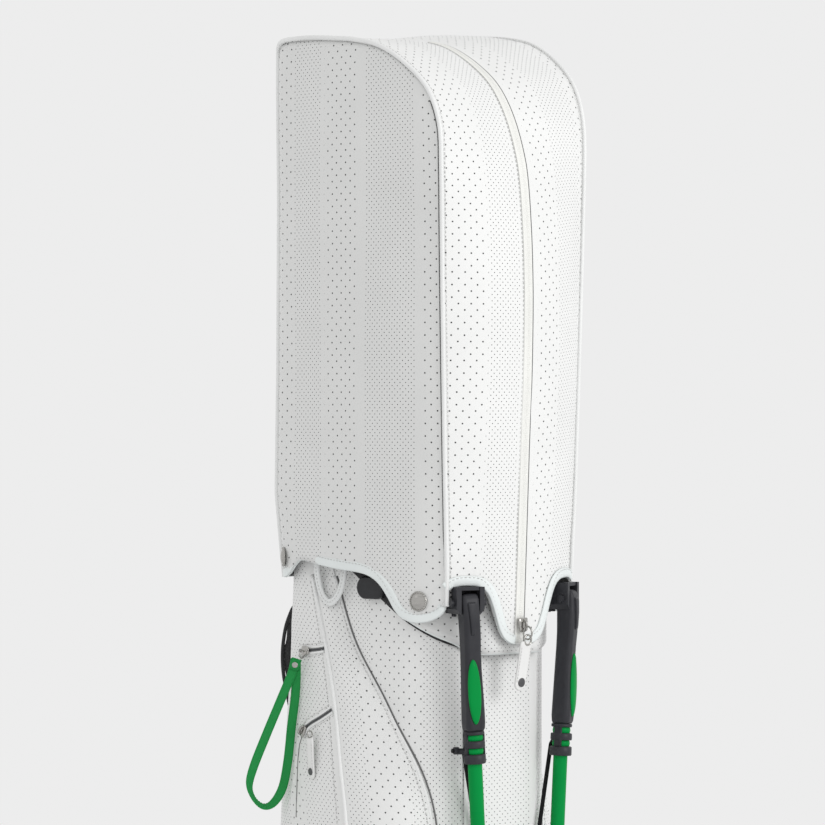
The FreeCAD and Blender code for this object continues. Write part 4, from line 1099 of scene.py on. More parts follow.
def body_skin():
    """Perforated leather over the tube, with the tube's own wall behind it."""
    outline = plan_line(0.0)
    inner = plan_line(-2.4)
    heights = [86.0, 88.0] + [100.0 + 25.0 * k for k in range(30)] + [845.0]
    count = len(outline)
    run = [0.0]
    for a, b in zip(outline, outline[1:] + outline[:1]):
        run.append(run[-1] + (b - a).length)
    front = min(range(count), key=lambda k: (abs(outline[k].x) + (0 if outline[k].y < 0 else 999)))
    verts = []
    uvs = []
    faces = []
    loops = [(z, outline) for z in heights] + [(z, inner) for z in (868.0, 845.0, 400.0, 60.0)]
    loops.insert(len(heights), (868.0, plan_line(-0.2)))
    for z, ring in loops:
        for k in range(count + 1):
            p = ring[k % count]
            verts.append(mm(p.x, p.y, z))
            uvs.append(((run[k] - run[front]) * MM, z * MM))
    for i in range(len(loops) - 1):
        for k in range(count):
            a = i * (count + 1) + k
            faces.append([a, a + 1, a + count + 2, a + count + 1])
    obj = new_mesh("body_leather", verts, faces, [M["body"]], uvs)
    place(obj, "bag", "hood_leather", "body_tube")


def front_panel():
    """Padded centre panel between the legs, with a sewn edge."""
    def spot(z, x):
        edge = min(PANEL_HALF - abs(x), z - PANEL_LOW, PANEL_TOP - z)
        rise = 3.2 * (1.0 - math.exp(-max(edge, 0.0) / 3.0)) - 0.4
        rise += 0.5 * wave(x, z, 33.0, 1.0) * min(edge / 12.0, 1.0)
        return mm(x, TUBE_FRONT - rise, z), (0.04 + x * MM * 0.8, z * MM)

    heights = [PANEL_LOW + (PANEL_TOP - PANEL_LOW) * i / 90 for i in range(91)]
    widths = [-PANEL_HALF + 2 * PANEL_HALF * j / 32 for j in range(33)]
    obj = surface("front_centre_panel", heights, widths, spot, M["front"])
    place(obj, "bag", "white_leather", "front_panel")
    threads = []
    for x in (-44.5, 44.5):
        line = [mm(x, -91.0, 92.0 + 8.0 * k) for k in range(82)]
        threads.append(stitches("t", line, -Y_AXIS, M["thread"]))
    place(join(threads, "front_panel_stitching"), "bag", "white_leather")


def cuff_line(y):
    return 761.0 + 0.65 * (y + 76.0)


def skirt_drop(x):
    """How much lower the skirt hangs in front, where it covers the cuff's own edge."""
    t = unit((x + 62.0) / 24.0)
    return 6.5 * t * t * (3.0 - 2.0 * t)


def skirt_push(x, z):
    """How far the skirt stands off the cuff between the legs, where the hood draws it forward."""
    t = unit((50.0 - abs(x)) / 22.0)
    return 12.5 * t * t * (3.0 - 2.0 * t) * unit((835.0 - z) / 60.0)


def apron():
    """White skirt over the cuff behind the legs, with a bound lower edge."""
    line = [p for p in plan_line(3.2) if p.y < -45.0]
    order = sorted(line, key=lambda p: math.atan2(p.x, -p.y))
    rows = []
    uvs = []
    run = 0.0
    for i, p in enumerate(order):
        if i:
            run += (p - order[i - 1]).length
        low = cuff_line(p.y) + 4.0 - skirt_drop(p.x)
        row = []
        uv = []
        for k in range(9):
            z = low + (SKIRT_TOP - low) * k / 8
            row.append(mm(p.x, p.y - skirt_push(p.x, z), z))
            uv.append(((run - 131.0) * MM, z * MM))
        rows.append(row)
        uvs.append(uv)
    obj = grid("collar_skirt", rows, M["body"], uvs)
    obj = thicken(obj, 1.0)
    place(obj, "bag", "hood_leather", "collar_apron")
    edge = []
    for p in order:
        z = cuff_line(p.y) + 7.0 - skirt_drop(p.x)
        edge.append(mm(p.x, p.y - skirt_push(p.x, z), z))
    ups = []
    for i in range(len(order)):
        d = heading(order, i)
        ups.append(Vector((d.y, -d.x, 0)))
    strip = sweep("skirt_binding", edge, ups,
                  [(-3.4, -1.2), (3.6, -1.2), (3.9, 0.0), (3.5, 0.55), (0.0, 0.75),
                                               (-3.3, 0.6), (-3.8, 0.0)], M["binding"])
    place(strip, "bag", "binding")


def ball_pocket():
    """Rounded pocket low on the back."""
    low, top, wall, deep, flat = 112.0, 286.0, 97.0, 34.0, 0.62

    def spot(z, t):
        end = min((z - low) / 16.0, (top - z) / 16.0, 1.0)
        depth = math.sqrt(max(1.0 - (1.0 - max(end, 0.0)) ** 2, 0.0))
        a = abs(t)
        half = 50.0 - 4.0 * (1.0 - depth)
        if a > flat:
            turn = (a - flat) / (1.0 - flat)
            x = half * (0.72 + 0.28 * math.sin(turn * math.pi / 2))
            y = wall + (deep * depth) * math.cos(turn * math.pi / 2) ** 0.8
        else:
            x = half * 0.72 * a / flat
            y = wall + deep * depth + 2.2 * depth * (1.0 - (a / flat) ** 2)
        y += 0.7 * wave(x, z, 41.0, 1.0) * depth
        return mm(x if t > 0 else -x, y, z), (t * 0.07 + 0.01, z * MM)

    heights = [low + (top - low) * i / 60 for i in range(61)]
    obj = surface("ball_pocket_shell", heights, [-1.0 + 2.0 * j / 56 for j in range(57)], spot, M["body"],
                  flip=True)
    place(obj, "bag", "hood_leather", "ball_pocket")
    threads = []
    for z in (251.0, 266.0):
        line = [mm(x, 133.4, z) for x in range(-34, 35, 2)]
        threads.append(stitches("t", line, Y_AXIS, M["thread"], lift=0.5))
    place(join(threads, "ball_pocket_stitching"), "bag", "white_leather")


body_skin()
front_panel()
apron()
for pocket_side in (-1, 1):
    pocket(pocket_side)
ball_pocket()


# ------------------------------------------------------------------ legs

SPLAY = math.radians(20.0)
LEAN = math.radians(3.7)
PIVOT = Vector((65.0, -108.0, 795.0))
INLAY_X = -1.6
INLAY_Z = -77.5


def leg_matrix(side):
    """From a leg's own axes, in mm, to metres in place."""
    turn = Matrix.Rotation(-LEAN, 4, "Y") @ Matrix.Rotation(-SPLAY, 4, "Z")
    spot = Matrix.Translation(Vector((-PIVOT.x, PIVOT.y, PIVOT.z)))
    whole = Matrix.Scale(MM, 4) @ spot @ turn
    if side > 0:
        whole = Matrix.Scale(-1, 4, X_AXIS) @ whole
    return whole


def in_leg(obj, side):
    """Moves a piece built about a leg's own axes, in mm, into place."""
    obj.data.transform(leg_matrix(side))
    if side > 0:
        obj.data.flip_normals()
    return obj


def section_ring(x0, x1, y0, y1, radius, z, sides=10):
    points = []
    for cx, cy, start in ((x1 - radius, y1 - radius, 0.0), (x0 + radius, y1 - radius, 90.0),
                          (x0 + radius, y0 + radius, 180.0), (x1 - radius, y0 + radius, 270.0)):
        for k in range(sides):
            a = math.radians(start + 90.0 * k / (sides - 1))
            points.append(Vector((cx + radius * math.cos(a), cy + radius * math.sin(a), z)))
    return points


def lofted(name, loops, material):
    """Skin over closed loops of points, capped at both ends."""
    verts = [p for ring in loops for p in ring]
    return new_mesh(name, verts, ring_faces(len(loops), len(loops[0])), [material])


HEAD_SHAPE = [  # z, half width, front, back, corner
    (8.0, 4.0, -3.0, 3.0, 2.0), (7.6, 6.6, -4.6, 4.6, 3.0), (6.0, 7.8, -6.6, 6.4, 3.4),
    (3.0, 8.0, -8.1, 7.4, 3.6),
    (-2.0, 8.0, -8.5, 7.6, 3.6), (-14.0, 8.0, -9.4, 7.2, 3.8), (-30.0, 8.0, -9.4, 6.6, 4.0),
    (-44.0, 7.9, -8.6, 6.8, 4.2), (-58.0, 8.2, -8.6, 7.3, 4.8), (-78.0, 8.7, -9.2, 7.8, 5.2),
    (-96.0, 9.1, -9.6, 8.2, 5.4), (-105.0, 9.3, -9.4, 8.4, 5.6), (-110.0, 9.0, -8.9, 8.0, 5.6),
    (-112.0, 8.2, -8.0, 7.4, 5.4)]


def turned(name, profile, material, sides):
    """Turned piece about a leg's own length, in mm."""
    piece = revolve(name, profile, Vector(), Z_AXIS, material, sides)
    piece.data.transform(Matrix.Scale(1 / MM, 4))
    return piece


def head_front(z):
    return lookup([(row[0], row[2]) for row in reversed(HEAD_SHAPE)], z)


def leg_head(side, name, body):
    """Moulded head, hollowed for its inlay, with a rib down its front."""
    loops = []
    for upper, lower in zip(HEAD_SHAPE, HEAD_SHAPE[1:]):
        steps = max(int(abs(lower[0] - upper[0]) / 3.0), 1)
        for k in range(steps):
            z, w, f, b, r = (a + (c - a) * (k / steps) for a, c in zip(upper, lower))
            loops.append(section_ring(-w, w, f, b, r, z))
    z, w, f, b, r = HEAD_SHAPE[-1]
    loops.append(section_ring(-w, w, f, b, r, z))
    for ring in loops:
        for p in ring:
            wide = math.sqrt(max(1.0 - ((p.z - INLAY_Z) / 31.0) ** 2, 0.0))
            inside = wide - abs(p.x - INLAY_X) / 7.0
            if inside > -0.1 and p.y < -4.0:
                p.y += 0.9 * min(max(inside + 0.1, 0.0) * 4.0, 1.0)
    head = in_leg(lofted("head", loops, M["plastic"]), side)

    rib_loops = []
    for z, w, out in ((1.0, 3.9, 0.0), (0.0, 3.9, 1.5), (-1.5, 3.7, 1.7), (-12.0, 3.1, 1.7),
                      (-24.0, 2.4, 1.6),
                      (-27.0, 2.2, 1.3), (-28.2, 2.1, 0.0)):
        front = head_front(z)
        rib_loops.append([Vector((-w, front + 0.8, z)), Vector((-w + 0.3, front - out, z)),
                          Vector((w - 0.3, front - out, z)), Vector((w, front + 0.8, z))])
    rib = lofted("rib", rib_loops, M["plastic"])
    for v in rib.data.vertices:
        v.co.x -= 0.6
    rib = bevelled(in_leg(rib, side), 0.35, 2)
    place(join([head, rib], "leg_head_shell_" + name), body, "black_plastic", "leg_head_" + name)


def leg_inlay(side, name, body):
    """Coloured oval set in the head."""
    oval = []
    for scale, out in ((1.0, 0.9), (0.985, 0.2), (0.93, -0.55), (0.78, -1.0), (0.5, -1.3),
                       (0.2, -1.4)):
        loop = []
        for c, s in circle(48):
            x = 6.2 * scale * c + INLAY_X
            z = INLAY_Z + 28.5 * scale * s
            base = head_front(z) + 0.9
            loop.append(Vector((x, base + out - 0.9 - (1.0 - ((x - INLAY_X) / 7.0) ** 2) * 0.4, z)))
        oval.append(loop)
    inlay = in_leg(lofted("leg_grip_inlay_" + name, oval, M["green_plastic"]), side)
    place(inlay, body, "green_plastic", "leg_inlay_" + name)


def leg_collar(side, name, body):
    """Clamp rings below the head, with coloured windows between them and the rod's lug."""
    collar = []
    for profile in ([(6.5, -112.2), (8.6, -112.3), (9.3, -113.0), (9.3, -114.6), (8.8, -115.4),
                     (6.5, -115.6)],
                    [(6.5, -120.6), (8.9, -120.8), (9.6, -121.6), (9.7, -126.2), (9.2, -127.0),
                     (6.5, -127.2)],
                    [(6.5, -132.4), (9.0, -132.6), (9.8, -133.4), (9.9, -139.8), (9.3, -140.8),
                     (6.5, -141.0)]):
        collar.append(in_leg(turned("clamp", profile, M["plastic"], 48), side))
    for side_at in (-1, 1):
        web = lofted("web", [section_ring(side_at * 8.0 - 1.3, side_at * 8.0 + 1.3, -3.6, 3.6, 1.2, z)
                             for z in (-114.0, -134.0)], M["plastic"])
        collar.append(in_leg(web, side))
    windows = []
    for z in (-118.1, -129.8):
        profile = [(6.4, z - 3.2), (7.6, z - 2.4), (8.1, z), (7.6, z + 2.4), (6.4, z + 3.2)]
        windows.append(in_leg(turned("window", profile, M["green_plastic"], 40), side))
    eye = mm(side * 64.0, -93.0, 665.0)
    way = Vector((side * math.cos(SPLAY), math.sin(SPLAY), 0))
    lug = revolve("lug", [(2.0, -2.5), (2.9, -2.4), (3.3, -1.9), (3.3, 1.9), (2.9, 2.4), (2.0, 2.5)], eye,
                  way,
                  M["plastic"], 28)
    centre = leg_matrix(side) @ Vector((0, 0, -130.0))
    reach = eye - centre
    reach.z = 0
    arm_path = [Vector((centre.x, centre.y, eye.z - 1 * MM)) + reach * share for share in (0.4, 0.6, 0.9)]
    arm = sweep("arm", arm_path, Z_AXIS, strip_section(1.9, -2.0, 1.9, 2.0), M["plastic"])
    collar += [lug, arm]
    place(join(collar, "leg_collar_rings_" + name), body, "black_plastic", "leg_clamp_" + name)
    place(join(windows, "leg_collar_windows_" + name), body, "green_plastic")


def leg_foot(side, name, body):
    """Ribbed rubber foot."""
    rings = [(7.2, -697.5), (8.6, -698.0), (9.6, -699.5), (9.8, -703.0), (9.0, -704.0), (10.2, -705.0),
             (10.3, -708.0), (9.6, -709.0), (10.8, -710.5), (11.3, -714.0), (11.5, -720.0), (11.2, -725.0),
             (9.6, -727.6), (6.0, -728.0)]
    tip = in_leg(turned("foot", rings, M["rubber"], 48), side)
    tip.data.flip_normals()
    place(tip, body, "rubber", "leg_foot_" + name)
    tip.name = "leg_rubber_foot_" + name


for leg_side, leg_name in SIDE_NAME.items():
    for build in (leg_head, leg_inlay, leg_collar, leg_foot):
        build(leg_side, leg_name, "leg_" + leg_name)


# ------------------------------------------------------------------ snaps, sliders, pulls and loops

def snap_caps():
    pieces = []
    for side in (-1, 1):
        for y, z, turn in ((-75.0, 796.0, -0.2), (89.0, 831.0, 0.85)):
            hub = settle(side * (side_half(y, z) + 0.9), y, z)
            out = Vector((side, turn, 0)).normalized()
            profile = [(8.6, 0.2), (9.0, 0.7), (8.9, 1.4), (8.3, 1.9), (7.4, 1.7), (7.0, 1.9), (6.0, 2.9),
                       (4.2, 3.6),
                       (2.0, 4.0), (0.4, 4.1)]
            pieces.append(revolve("cap", profile, hub, out, M["chrome"], 48))
            first = out.cross(Z_AXIS).normalized()
            second = out.cross(first)
            bead = [(0.35, -0.75), (0.72, -0.35), (0.78, 0.0), (0.72, 0.35), (0.35, 0.75)]
            for c, s in circle(26):
                spot = hub + (first * c + second * s) * (8.0 * MM) + out * (1.7 * MM)
                pieces.append(revolve("bead", bead, spot, out, M["chrome"], 10))
    place(join(pieces, "hood_snap_buttons"), "hood", "chrome", "hood_snap_caps")


def torus(name, origin, normal, radius, wire, material, turns=48, stretch=1.0):
    normal = normal.normalized()
    first = normal.cross(X_AXIS)
    if first.length < 0.1:
        first = normal.cross(Y_AXIS)
    first.normalize()
    second = normal.cross(first)
    path = [origin + (first * c * stretch + second * s) * (radius * MM) for c, s in circle(turns)]
    return sweep(name, path, normal, ring_section(wire, 10), material, closed=True)


def leather_tab(name, top, down, face, length, half, thickness):
    """Pull tab: a leather strip with a rounded end and a row of thread along each edge."""
    down = down.normalized()
    face = face.normalized()
    across = down.cross(face).normalized()
    loops = []
    count = 26
    for i in range(count + 1):
        s = length * i / count
        end = length - s
        w = half if end > half else half * math.sqrt(max(1.0 - (1.0 - end / half) ** 2, 0.02))
        if s < 3.0:
            w *= 0.86 + 0.14 * s / 3.0
        sway = 0.4 * math.sin(s / length * math.pi)
        loops.append([top + (down * s + across * (w * c) + face * (thickness / 2 * d + sway)) * MM
                      for c, d in squared(20, 0.35, 0.7)])
    pieces = [lofted(name, loops, M["tab"])]
    for side in (-1, 1):
        line = [top + (down * (5.0 + (length - 12.0) * k / 10) + across * (side * (half - 1.3))
                       + face * (thickness / 2 + 0.35)) * MM for k in range(11)]
        pieces.append(stitches("t", line, face, M["thread"], length=1.8, gap=1.0, radius=0.26))
    return pieces


def rivet(at, face, radius, material):
    profile = [(radius, 0.0), (radius, 0.5), (radius * 0.86, 0.9), (radius * 0.7, 0.75), (radius * 0.5, 0.95),
               (radius * 0.25, 1.1), (0.2, 1.15)]
    return revolve("rivet", profile, at, face, material, 32)


def slider_body(at, along, face, scale):
    """Zip slider: a rounded wedge with a bridge over it, on the surface at a point."""
    along = along.normalized()
    face = face.normalized()
    across = along.cross(face).normalized()
    loops = []
    for s, w, h in ((-5.6, 2.6, 1.2), (-5.0, 3.3, 2.2), (-2.0, 4.2, 2.5), (1.5, 4.9, 2.5), (4.4, 5.0, 2.3),
                    (5.4, 4.2, 1.4)):
        loops.append([at + (along * s + across * (w * c) + face * (1.5 + h / 2 * d)) * (MM * scale)
                      for c, d in squared(16, 0.5, 0.6)])
    arch = ((-4.2, 2.4), (-4.0, 4.0), (-2.6, 5.0), (0.6, 5.1), (2.6, 4.4), (3.2, 2.6))
    path = [at + (along * s + face * h) * (MM * scale) for s, h in arch]
    bridge = sweep("bridge", catmull(path, 5), across, strip_section(1.3, -0.55, 1.3, 0.55), M["chrome"])
    return [lofted("slider", loops, M["chrome"]), bridge]


def hood_pull():
    z = 774.0
    y = front_mid(z)
    face = -Y_AXIS
    body = slider_body(mm(ZIP_X, y - 0.4, z), Z_AXIS, face, 1.15)
    place(join(body, "hood_zip_slider"), "hood_slider", "chrome", "hood_slider")
    hinge_y = y - 2.4 - 4.0 - 1.8
    ring, link = (torus("ring", mm(ZIP_X, hinge_y + 0.2, z - drop), Vector(way), size, wire, M["chrome"], 40,
                        long)
                  for drop, way, size, wire, long in ((7.0, (1, 0.15, 0), 4.4, 0.85, 1.3),
                                                      (13.2, (0.1, 1, 0), 4.0, 0.9, 1.1)))
    pieces = leather_tab("hood_pull_leather", mm(ZIP_X - 1.0, hinge_y + 1.2, z - 14.5),
                         Vector((-0.05, 0.15, -1.0)), face, 44.0, 7.2, 2.6)
    cap = rivet(mm(ZIP_X - 2.8, hinge_y + 5.2, z - 50.5), face, 4.2, M["rivet"])
    place(join([ring, link, cap], "hood_pull_ring_and_rivet"), "hood_pull", "chrome")
    place(join(pieces, "hood_pull_leather"), "hood_pull", "tab_leather", "hood_pull")


def towel_loop():
    """Flat soft-plastic U that hangs from the cuff."""
    path = catmull([mm(-90.8, 16.5, 833), mm(-91.4, 18.5, 815), mm(-91.6, 24.0, 800), mm(-91.8, 32.0, 792.5),
                    mm(-91.8, 39.0, 792.5), mm(-91.6, 46.5, 800), mm(-91.4, 51.5, 815), mm(-90.8, 53.5, 833)],
                    7)
    loop = sweep("towel_loop_strap", path, -X_AXIS, flat_section(6.8, 2.6, -1.0), M["tpu"])
    edge = [p + Vector((-1.75, 0, 0)) * MM for p in path[4:-4]]
    threads = stitches("t", edge, -X_AXIS, M["thread"], length=2.0)
    rings = [section_ring(-93.4, -86.2, 12.5, 57.5, 2.4, z) for z in (828.2, 829.0, 837.0, 837.8)]
    plate = lofted("plate", rings, M["tpu"])
    plate.data.transform(Matrix.Scale(MM, 4))
    place(join([loop, threads, plate], "towel_loop_piece"), "bag", "tpu_loop", "towel_loop")


OUT = Vector((-0.695, 0.719, 0.0))
FACE = Vector((-0.719, -0.695, 0.0))


def lanyard_point(out, z, forward=0.0):
    return OUT * (out * MM) + FACE * ((35.0 + forward) * MM) + Z_AXIS * (z * MM)


def lanyard():
    """Webbing wrist loop riveted at its top, hanging from the upper zip."""
    route = [(120.5, 741, 1.2), (124.0, 727, 1.8), (133.5, 704, 2.4), (146.0, 674, 2.6), (157.5, 645, 2.0),
             (161.5, 628, 1.0), (157.5, 615.5, 0.2), (149.0, 608.5, -0.6), (140.0, 612.0, -1.0),
             (131.8, 626.0, -1.2), (127.2, 650, -1.2), (124.0, 680, -1.0), (120.8, 706, -0.6),
             (119.6, 727, -0.4), (119.6, 739, -0.4)]
    path = evenly(catmull([lanyard_point(*r) for r in route], 8), 2.0 * MM)
    count = len(path)
    ups = []
    for i in range(count):
        share = i / (count - 1)
        lean = 0.75 * math.exp(-((share - 0.47) / 0.10) ** 2)
        inward = (lanyard_point(143.0, 650.0) - path[i]).normalized()
        ups.append((FACE * (1.0 - lean) + inward * lean).normalized())
    band = sweep("lanyard_webbing", path, ups, flat_section(8.0, 1.5, -0.7), M["green_webbing"])
    threads = []
    for at in (-3.2, 3.2):
        line = []
        for i, p in enumerate(path):
            line.append(p + heading(path, i).cross(ups[i]).normalized() * (at * MM) + ups[i] * (0.85 * MM))
        threads.append(stitches("t", line, ups, M["green_webbing"], length=1.6, gap=0.8, radius=0.22))
    wrap = sweep("lanyard_wrap", [lanyard_point(119.0, 741.0, 0.6), lanyard_point(122.3, 731.0, 1.2)], FACE,
                 flat_section(9.0, 3.6, -1.2), M["green_webbing"])
    place(join([band, wrap] + threads, "lanyard_webbing_loop"), "lanyard", "green_webbing", "lanyard_loop")
    cap = rivet(lanyard_point(120.8, 735.5, 3.4), FACE, 2.7, M["chrome"])
    place(cap, "lanyard", "chrome")
    cap.name = "lanyard_rivet"


snap_caps()
hood_pull()
towel_loop()
lanyard()


# ------------------------------------------------------------------ pocket zips and their pulls

SLIDER_SCALE = 0.92


def on_pocket(z, column, side):
    """A point on a side pocket and its outward normal; column counts along a row of the pocket."""
    rows = [pocket_row(h, side)[0] for h in (z - 2.0, z, z + 2.0)]
    j = int(min(max(column, 1.0), len(rows[1]) - 3.0))
    t = column - j
    point = rows[1][j].lerp(rows[1][j + 1], t)
    across = rows[1][j + 1] - rows[1][j]
    up = rows[2][j].lerp(rows[2][j + 1], t) - rows[0][j].lerp(rows[0][j + 1], t)
    normal = across.cross(up).normalized()
    if normal.x * side < 0:
        normal = -normal
    return point, normal


def zip_slit(spots, side, roll=1.0):
    """Covered zip in a pocket: a dark gap with a coil in it, between rolled lips with rows of thread."""
    line = catmull([Vector((z, j, 0)) for z, j in spots], 10)
    found = [on_pocket(p.x, p.y, side) for p in line]
    path, ups = zip(*found)
    ups = list(ups)
    pieces = [sweep("gap", path, ups, strip_section(2.1, -0.6, 1.9, 0.45), M["lining"]),
              sweep("coil", path, ups, strip_section(0.7, 0.2, 0.5, 0.75), M["track"])]
    for way, size in ((-1, roll), (1, 0.8)):
        edge = []
        sewn = []
        for i, p in enumerate(path):
            lateral = heading(path, i).cross(ups[i]).normalized() * way
            edge.append(p + lateral * (2.7 * MM) + ups[i] * (0.2 * MM))
            sewn.append(p + lateral * (5.6 * MM) + ups[i] * (0.1 * MM))
        pieces.append(sweep("lip", edge, ups, dome_section(1.2, size, -0.1), M["white"]))
        pieces.append(stitches("thread", sewn, ups, M["thread"]))
    return pieces


def zip_runner(z, column, toward, side):
    """Slider on a pocket's zip, pointing at another (z, column); also its place, facing and direction."""
    at, out = on_pocket(z, column, side)
    run = (on_pocket(*toward, side)[0] - at).normalized()
    return slider_body(at + out * (1.0 * MM), run, out, SLIDER_SCALE), at, out, run


def left_zips():
    upper = zip_slit([(750.5, 12.6), (749.0, 14.4), (746.8, 17.9)], -1, 1.3)
    lower = zip_slit([(697.5, 12.7), (690.0, 14.6), (681.5, 16.8), (673.0, 17.8)], -1, 1.3)
    welt = [on_pocket(z, j, -1) for z, j in ((672.0, 17.9), (664.0, 18.5), (652.0, 18.8), (630.0, 19.0),
                                             (600.0, 19.1))]
    # Near-black strip running down the pocket from the lower zip: painted shade.
    lower.append(sweep("welt", [p for p, _ in welt], [n for _, n in welt],
                       strip_section(0.5, -0.5, 0.45, 0.3), M["shade"]))
    place(join(upper + lower, "left_pocket_zip_slits"), "bag", "zip_track", "left_pocket_zips")

    body, at, out, run = zip_runner(747.6, 16.0, (746.8, 17.9), -1)
    body.append(torus("r", at + out * (6.4 * MM) - Z_AXIS * (3.4 * MM), run + out * 0.35, 3.6, 0.75,
                      M["chrome"], 36))
    place(join(body, "left_upper_zip_slider"), "left_upper_slider", "chrome", "left_upper_slider")

    body, at, out, run = zip_runner(677.0, 17.4, (668.0, 18.3), -1)
    place(join(body, "left_lower_zip_slider"), "left_lower_slider", "chrome", "left_lower_slider")
    hang("left_lower", mm(-108.4, 35.3, 674.1), out, Vector((0.02, -0.05, -1)))


def hang(name, top, out, down):
    """Leather pull of a pocket zip with its ring and rivet."""
    flat = Vector((out.x, out.y, 0)).normalized()
    start = top + flat * (7.6 * MM)
    ring = torus("r", start + Z_AXIS * (1.0 * MM), flat.cross(Z_AXIS) + flat * 0.3, 3.0, 0.7, M["chrome"], 36)
    pieces = leather_tab(name + "_tab_leather", start - Z_AXIS * (2.0 * MM), down, flat, 37.0, 4.9, 2.1)
    cap = rivet(start + down.normalized() * (32.0 * MM) + flat * (1.0 * MM), flat, 3.3, M["rivet"])
    place(join([ring, cap], name + "_tab_ring"), name + "_tab", "chrome")
    place(join(pieces, name + "_tab_leather"), name + "_tab", "tab_leather", name + "_tab")


def right_zip():
    column = 14.7
    slit = zip_slit([(z, column) for z in (588.0, 510.0, 430.0, 320.0, 206.0)], 1)
    place(join(slit, "right_pocket_zip_slit"), "bag", "zip_track", "right_pocket_zip")
    body, at, out, run = zip_runner(580.0, column, (560.0, column), 1)
    place(join(body, "right_zip_slider"), "right_slider", "chrome", "right_slider")
    hang("right", at - Z_AXIS * (2.0 * MM), out, run)


def ball_zip():
    line = [mm(x, 133.6 - 0.00012 * x * x, 258.0) for x in range(-33, 34, 3)]
    pieces = [sweep("gap", line, Y_AXIS, strip_section(2.4, -0.4, 2.2, 0.7), M["track"]),
              sweep("coil", line, Y_AXIS, strip_section(0.9, 0.6, 0.7, 1.2), M["coil"])]
    for rise in (-3.2, 3.2):
        lip = [p + Z_AXIS * (rise * MM) for p in line]
        pieces.append(sweep("lip", lip, Y_AXIS, dome_section(1.9, 1.2), M["white"]))
    place(join(pieces, "ball_pocket_zip_slit"), "bag", "zip_track", "ball_pocket_zip")
    at = mm(-25.6, 134.4, 258.0)
    body = slider_body(at, X_AXIS, Y_AXIS, SLIDER_SCALE)
    place(join(body, "ball_zip_slider"), "ball_slider", "chrome", "ball_slider")
    hang("ball", mm(-25.6, 133.8, 256.0), Y_AXIS, -Z_AXIS)


left_zips()
right_zip()
ball_zip()


# ------------------------------------------------------------------ spine: straps, webbing and handle

STRAP_X = 39.0
SWELL_VOXEL = 4.5 * MM
SWELL_PRESSURE = 4.0
SWELL_STIFFNESS = 25.0
STRAP_LINE = [(106.0, 798.0), (116.5, 782.0), (125.0, 765.0), (129.2, 743.0), (128.0, 722.0), (122.0, 700.0),
              (114.2, 672.0), (109.2, 630.0), (107.0, 560.0), (106.4, 470.0), (106.4, 406.0)]
SWELL_CAP = 2.0 * MM
SWELL_FRAMES = 20


def backward(path, i):
    """Outward direction at point i of a line that runs down the bag's back."""
    out = X_AXIS.cross(heading(path, i)).normalized()
    return out if out.y > 0 else -out


def strap_path():
    return evenly(catmull([mm(-STRAP_X, y, z) for y, z in STRAP_LINE], 8), 5.0 * MM)


def swollen(obj):
    """Fills a pad by cloth simulation with inner pressure, with no point moved further than the cap."""
    mod = obj.modifiers.new("even", "REMESH")
    mod.mode = "VOXEL"
    mod.voxel_size = SWELL_VOXEL
    settled(obj)
    start = [v.co.copy() for v in obj.data.vertices]
    cloth = obj.modifiers.new("swell", "CLOTH")
    cloth.settings.use_pressure = True
    cloth.settings.uniform_pressure_force = SWELL_PRESSURE
    cloth.settings.effector_weights.gravity = 0.0
    cloth.settings.tension_stiffness = SWELL_STIFFNESS
    cloth.settings.compression_stiffness = SWELL_STIFFNESS
    cloth.point_cache.frame_start = 1
    cloth.point_cache.frame_end = SWELL_FRAMES
    for frame_number in range(1, SWELL_FRAMES + 1):
        bpy.context.scene.frame_set(frame_number)
    settled(obj)
    bpy.context.scene.frame_set(1)
    for v, at in zip(obj.data.vertices, start):
        move = v.co - at
        if move.length > SWELL_CAP:
            v.co = at + move.normalized() * SWELL_CAP
    return obj


def strap_pad_pair():
    """Shoulder pads: foam in fabric, swollen between their bound edges, with sewn channels."""
    path = strap_path()
    count = len(path)
    rings = []
    outs = [backward(path, i) for i in range(count)]
    ends = [min(min(i, count - 1 - i) / 4.0, 1.0) for i in range(count)]
    narrow = [min(0.72 + 0.28 * end, 1.0) for end in ends]
    for p, out, end, width in zip(path, outs, ends, narrow):
        half = 20.6 * width
        thick = 4.4 * min(0.55 + 0.45 * end, 1.0)
        rings.append([p + X_AXIS * (half * c * MM) + out * (thick * d * MM) for c,
                      d in squared(32, 0.5, 0.8)])
    pad = swollen(lofted("strap_pad", rings, M["mesh"]))
    for v in pad.data.vertices:
        nearest = min(range(count), key=lambda n: (path[n] - v.co).length_squared)
        across = (v.co.x + STRAP_X * MM) / MM
        out = v.co - path[nearest]
        for channel in (-7.5, 7.5):
            depth = 1.3 * math.exp(-((across - channel) / 2.2) ** 2)
            if out.length > 0:
                v.co -= out.normalized() * (depth * MM) * (1.0 if abs(out.x) < 0.010 else 0.3)
    subdivide(pad)
    binding = []
    for way in (-1, 1):
        line = [p + X_AXIS * (way * 20.9 * width * MM) for p, width in zip(path, narrow)]
        binding.append(sweep("strap_bind", line, outs, ring_section(1.7, 10), M["fabric"]))
    threads = []
    for across in (-17.0, 17.0):
        line = [p + X_AXIS * (across * MM) + o * (4.6 * MM) for p, o in zip(path, outs)][3:-3]
        threads.append(stitches("t", line, outs[3:-3], M["fabric"]))
    left = {"foam": pad, "binding": join(binding, "b"), "stitching": join(threads, "s")}
    for side, name in SIDE_NAME.items():
        for kind, source in left.items():
            piece = source if side < 0 else mirrored_copy(source)
            piece.name = f"strap_pad_{kind}_{name}"
            if kind == "foam":
                place(piece, "strap_" + name, "black_fabric", "strap_pad_" + name)
            else:
                place(piece, "strap_" + name, "black_fabric")


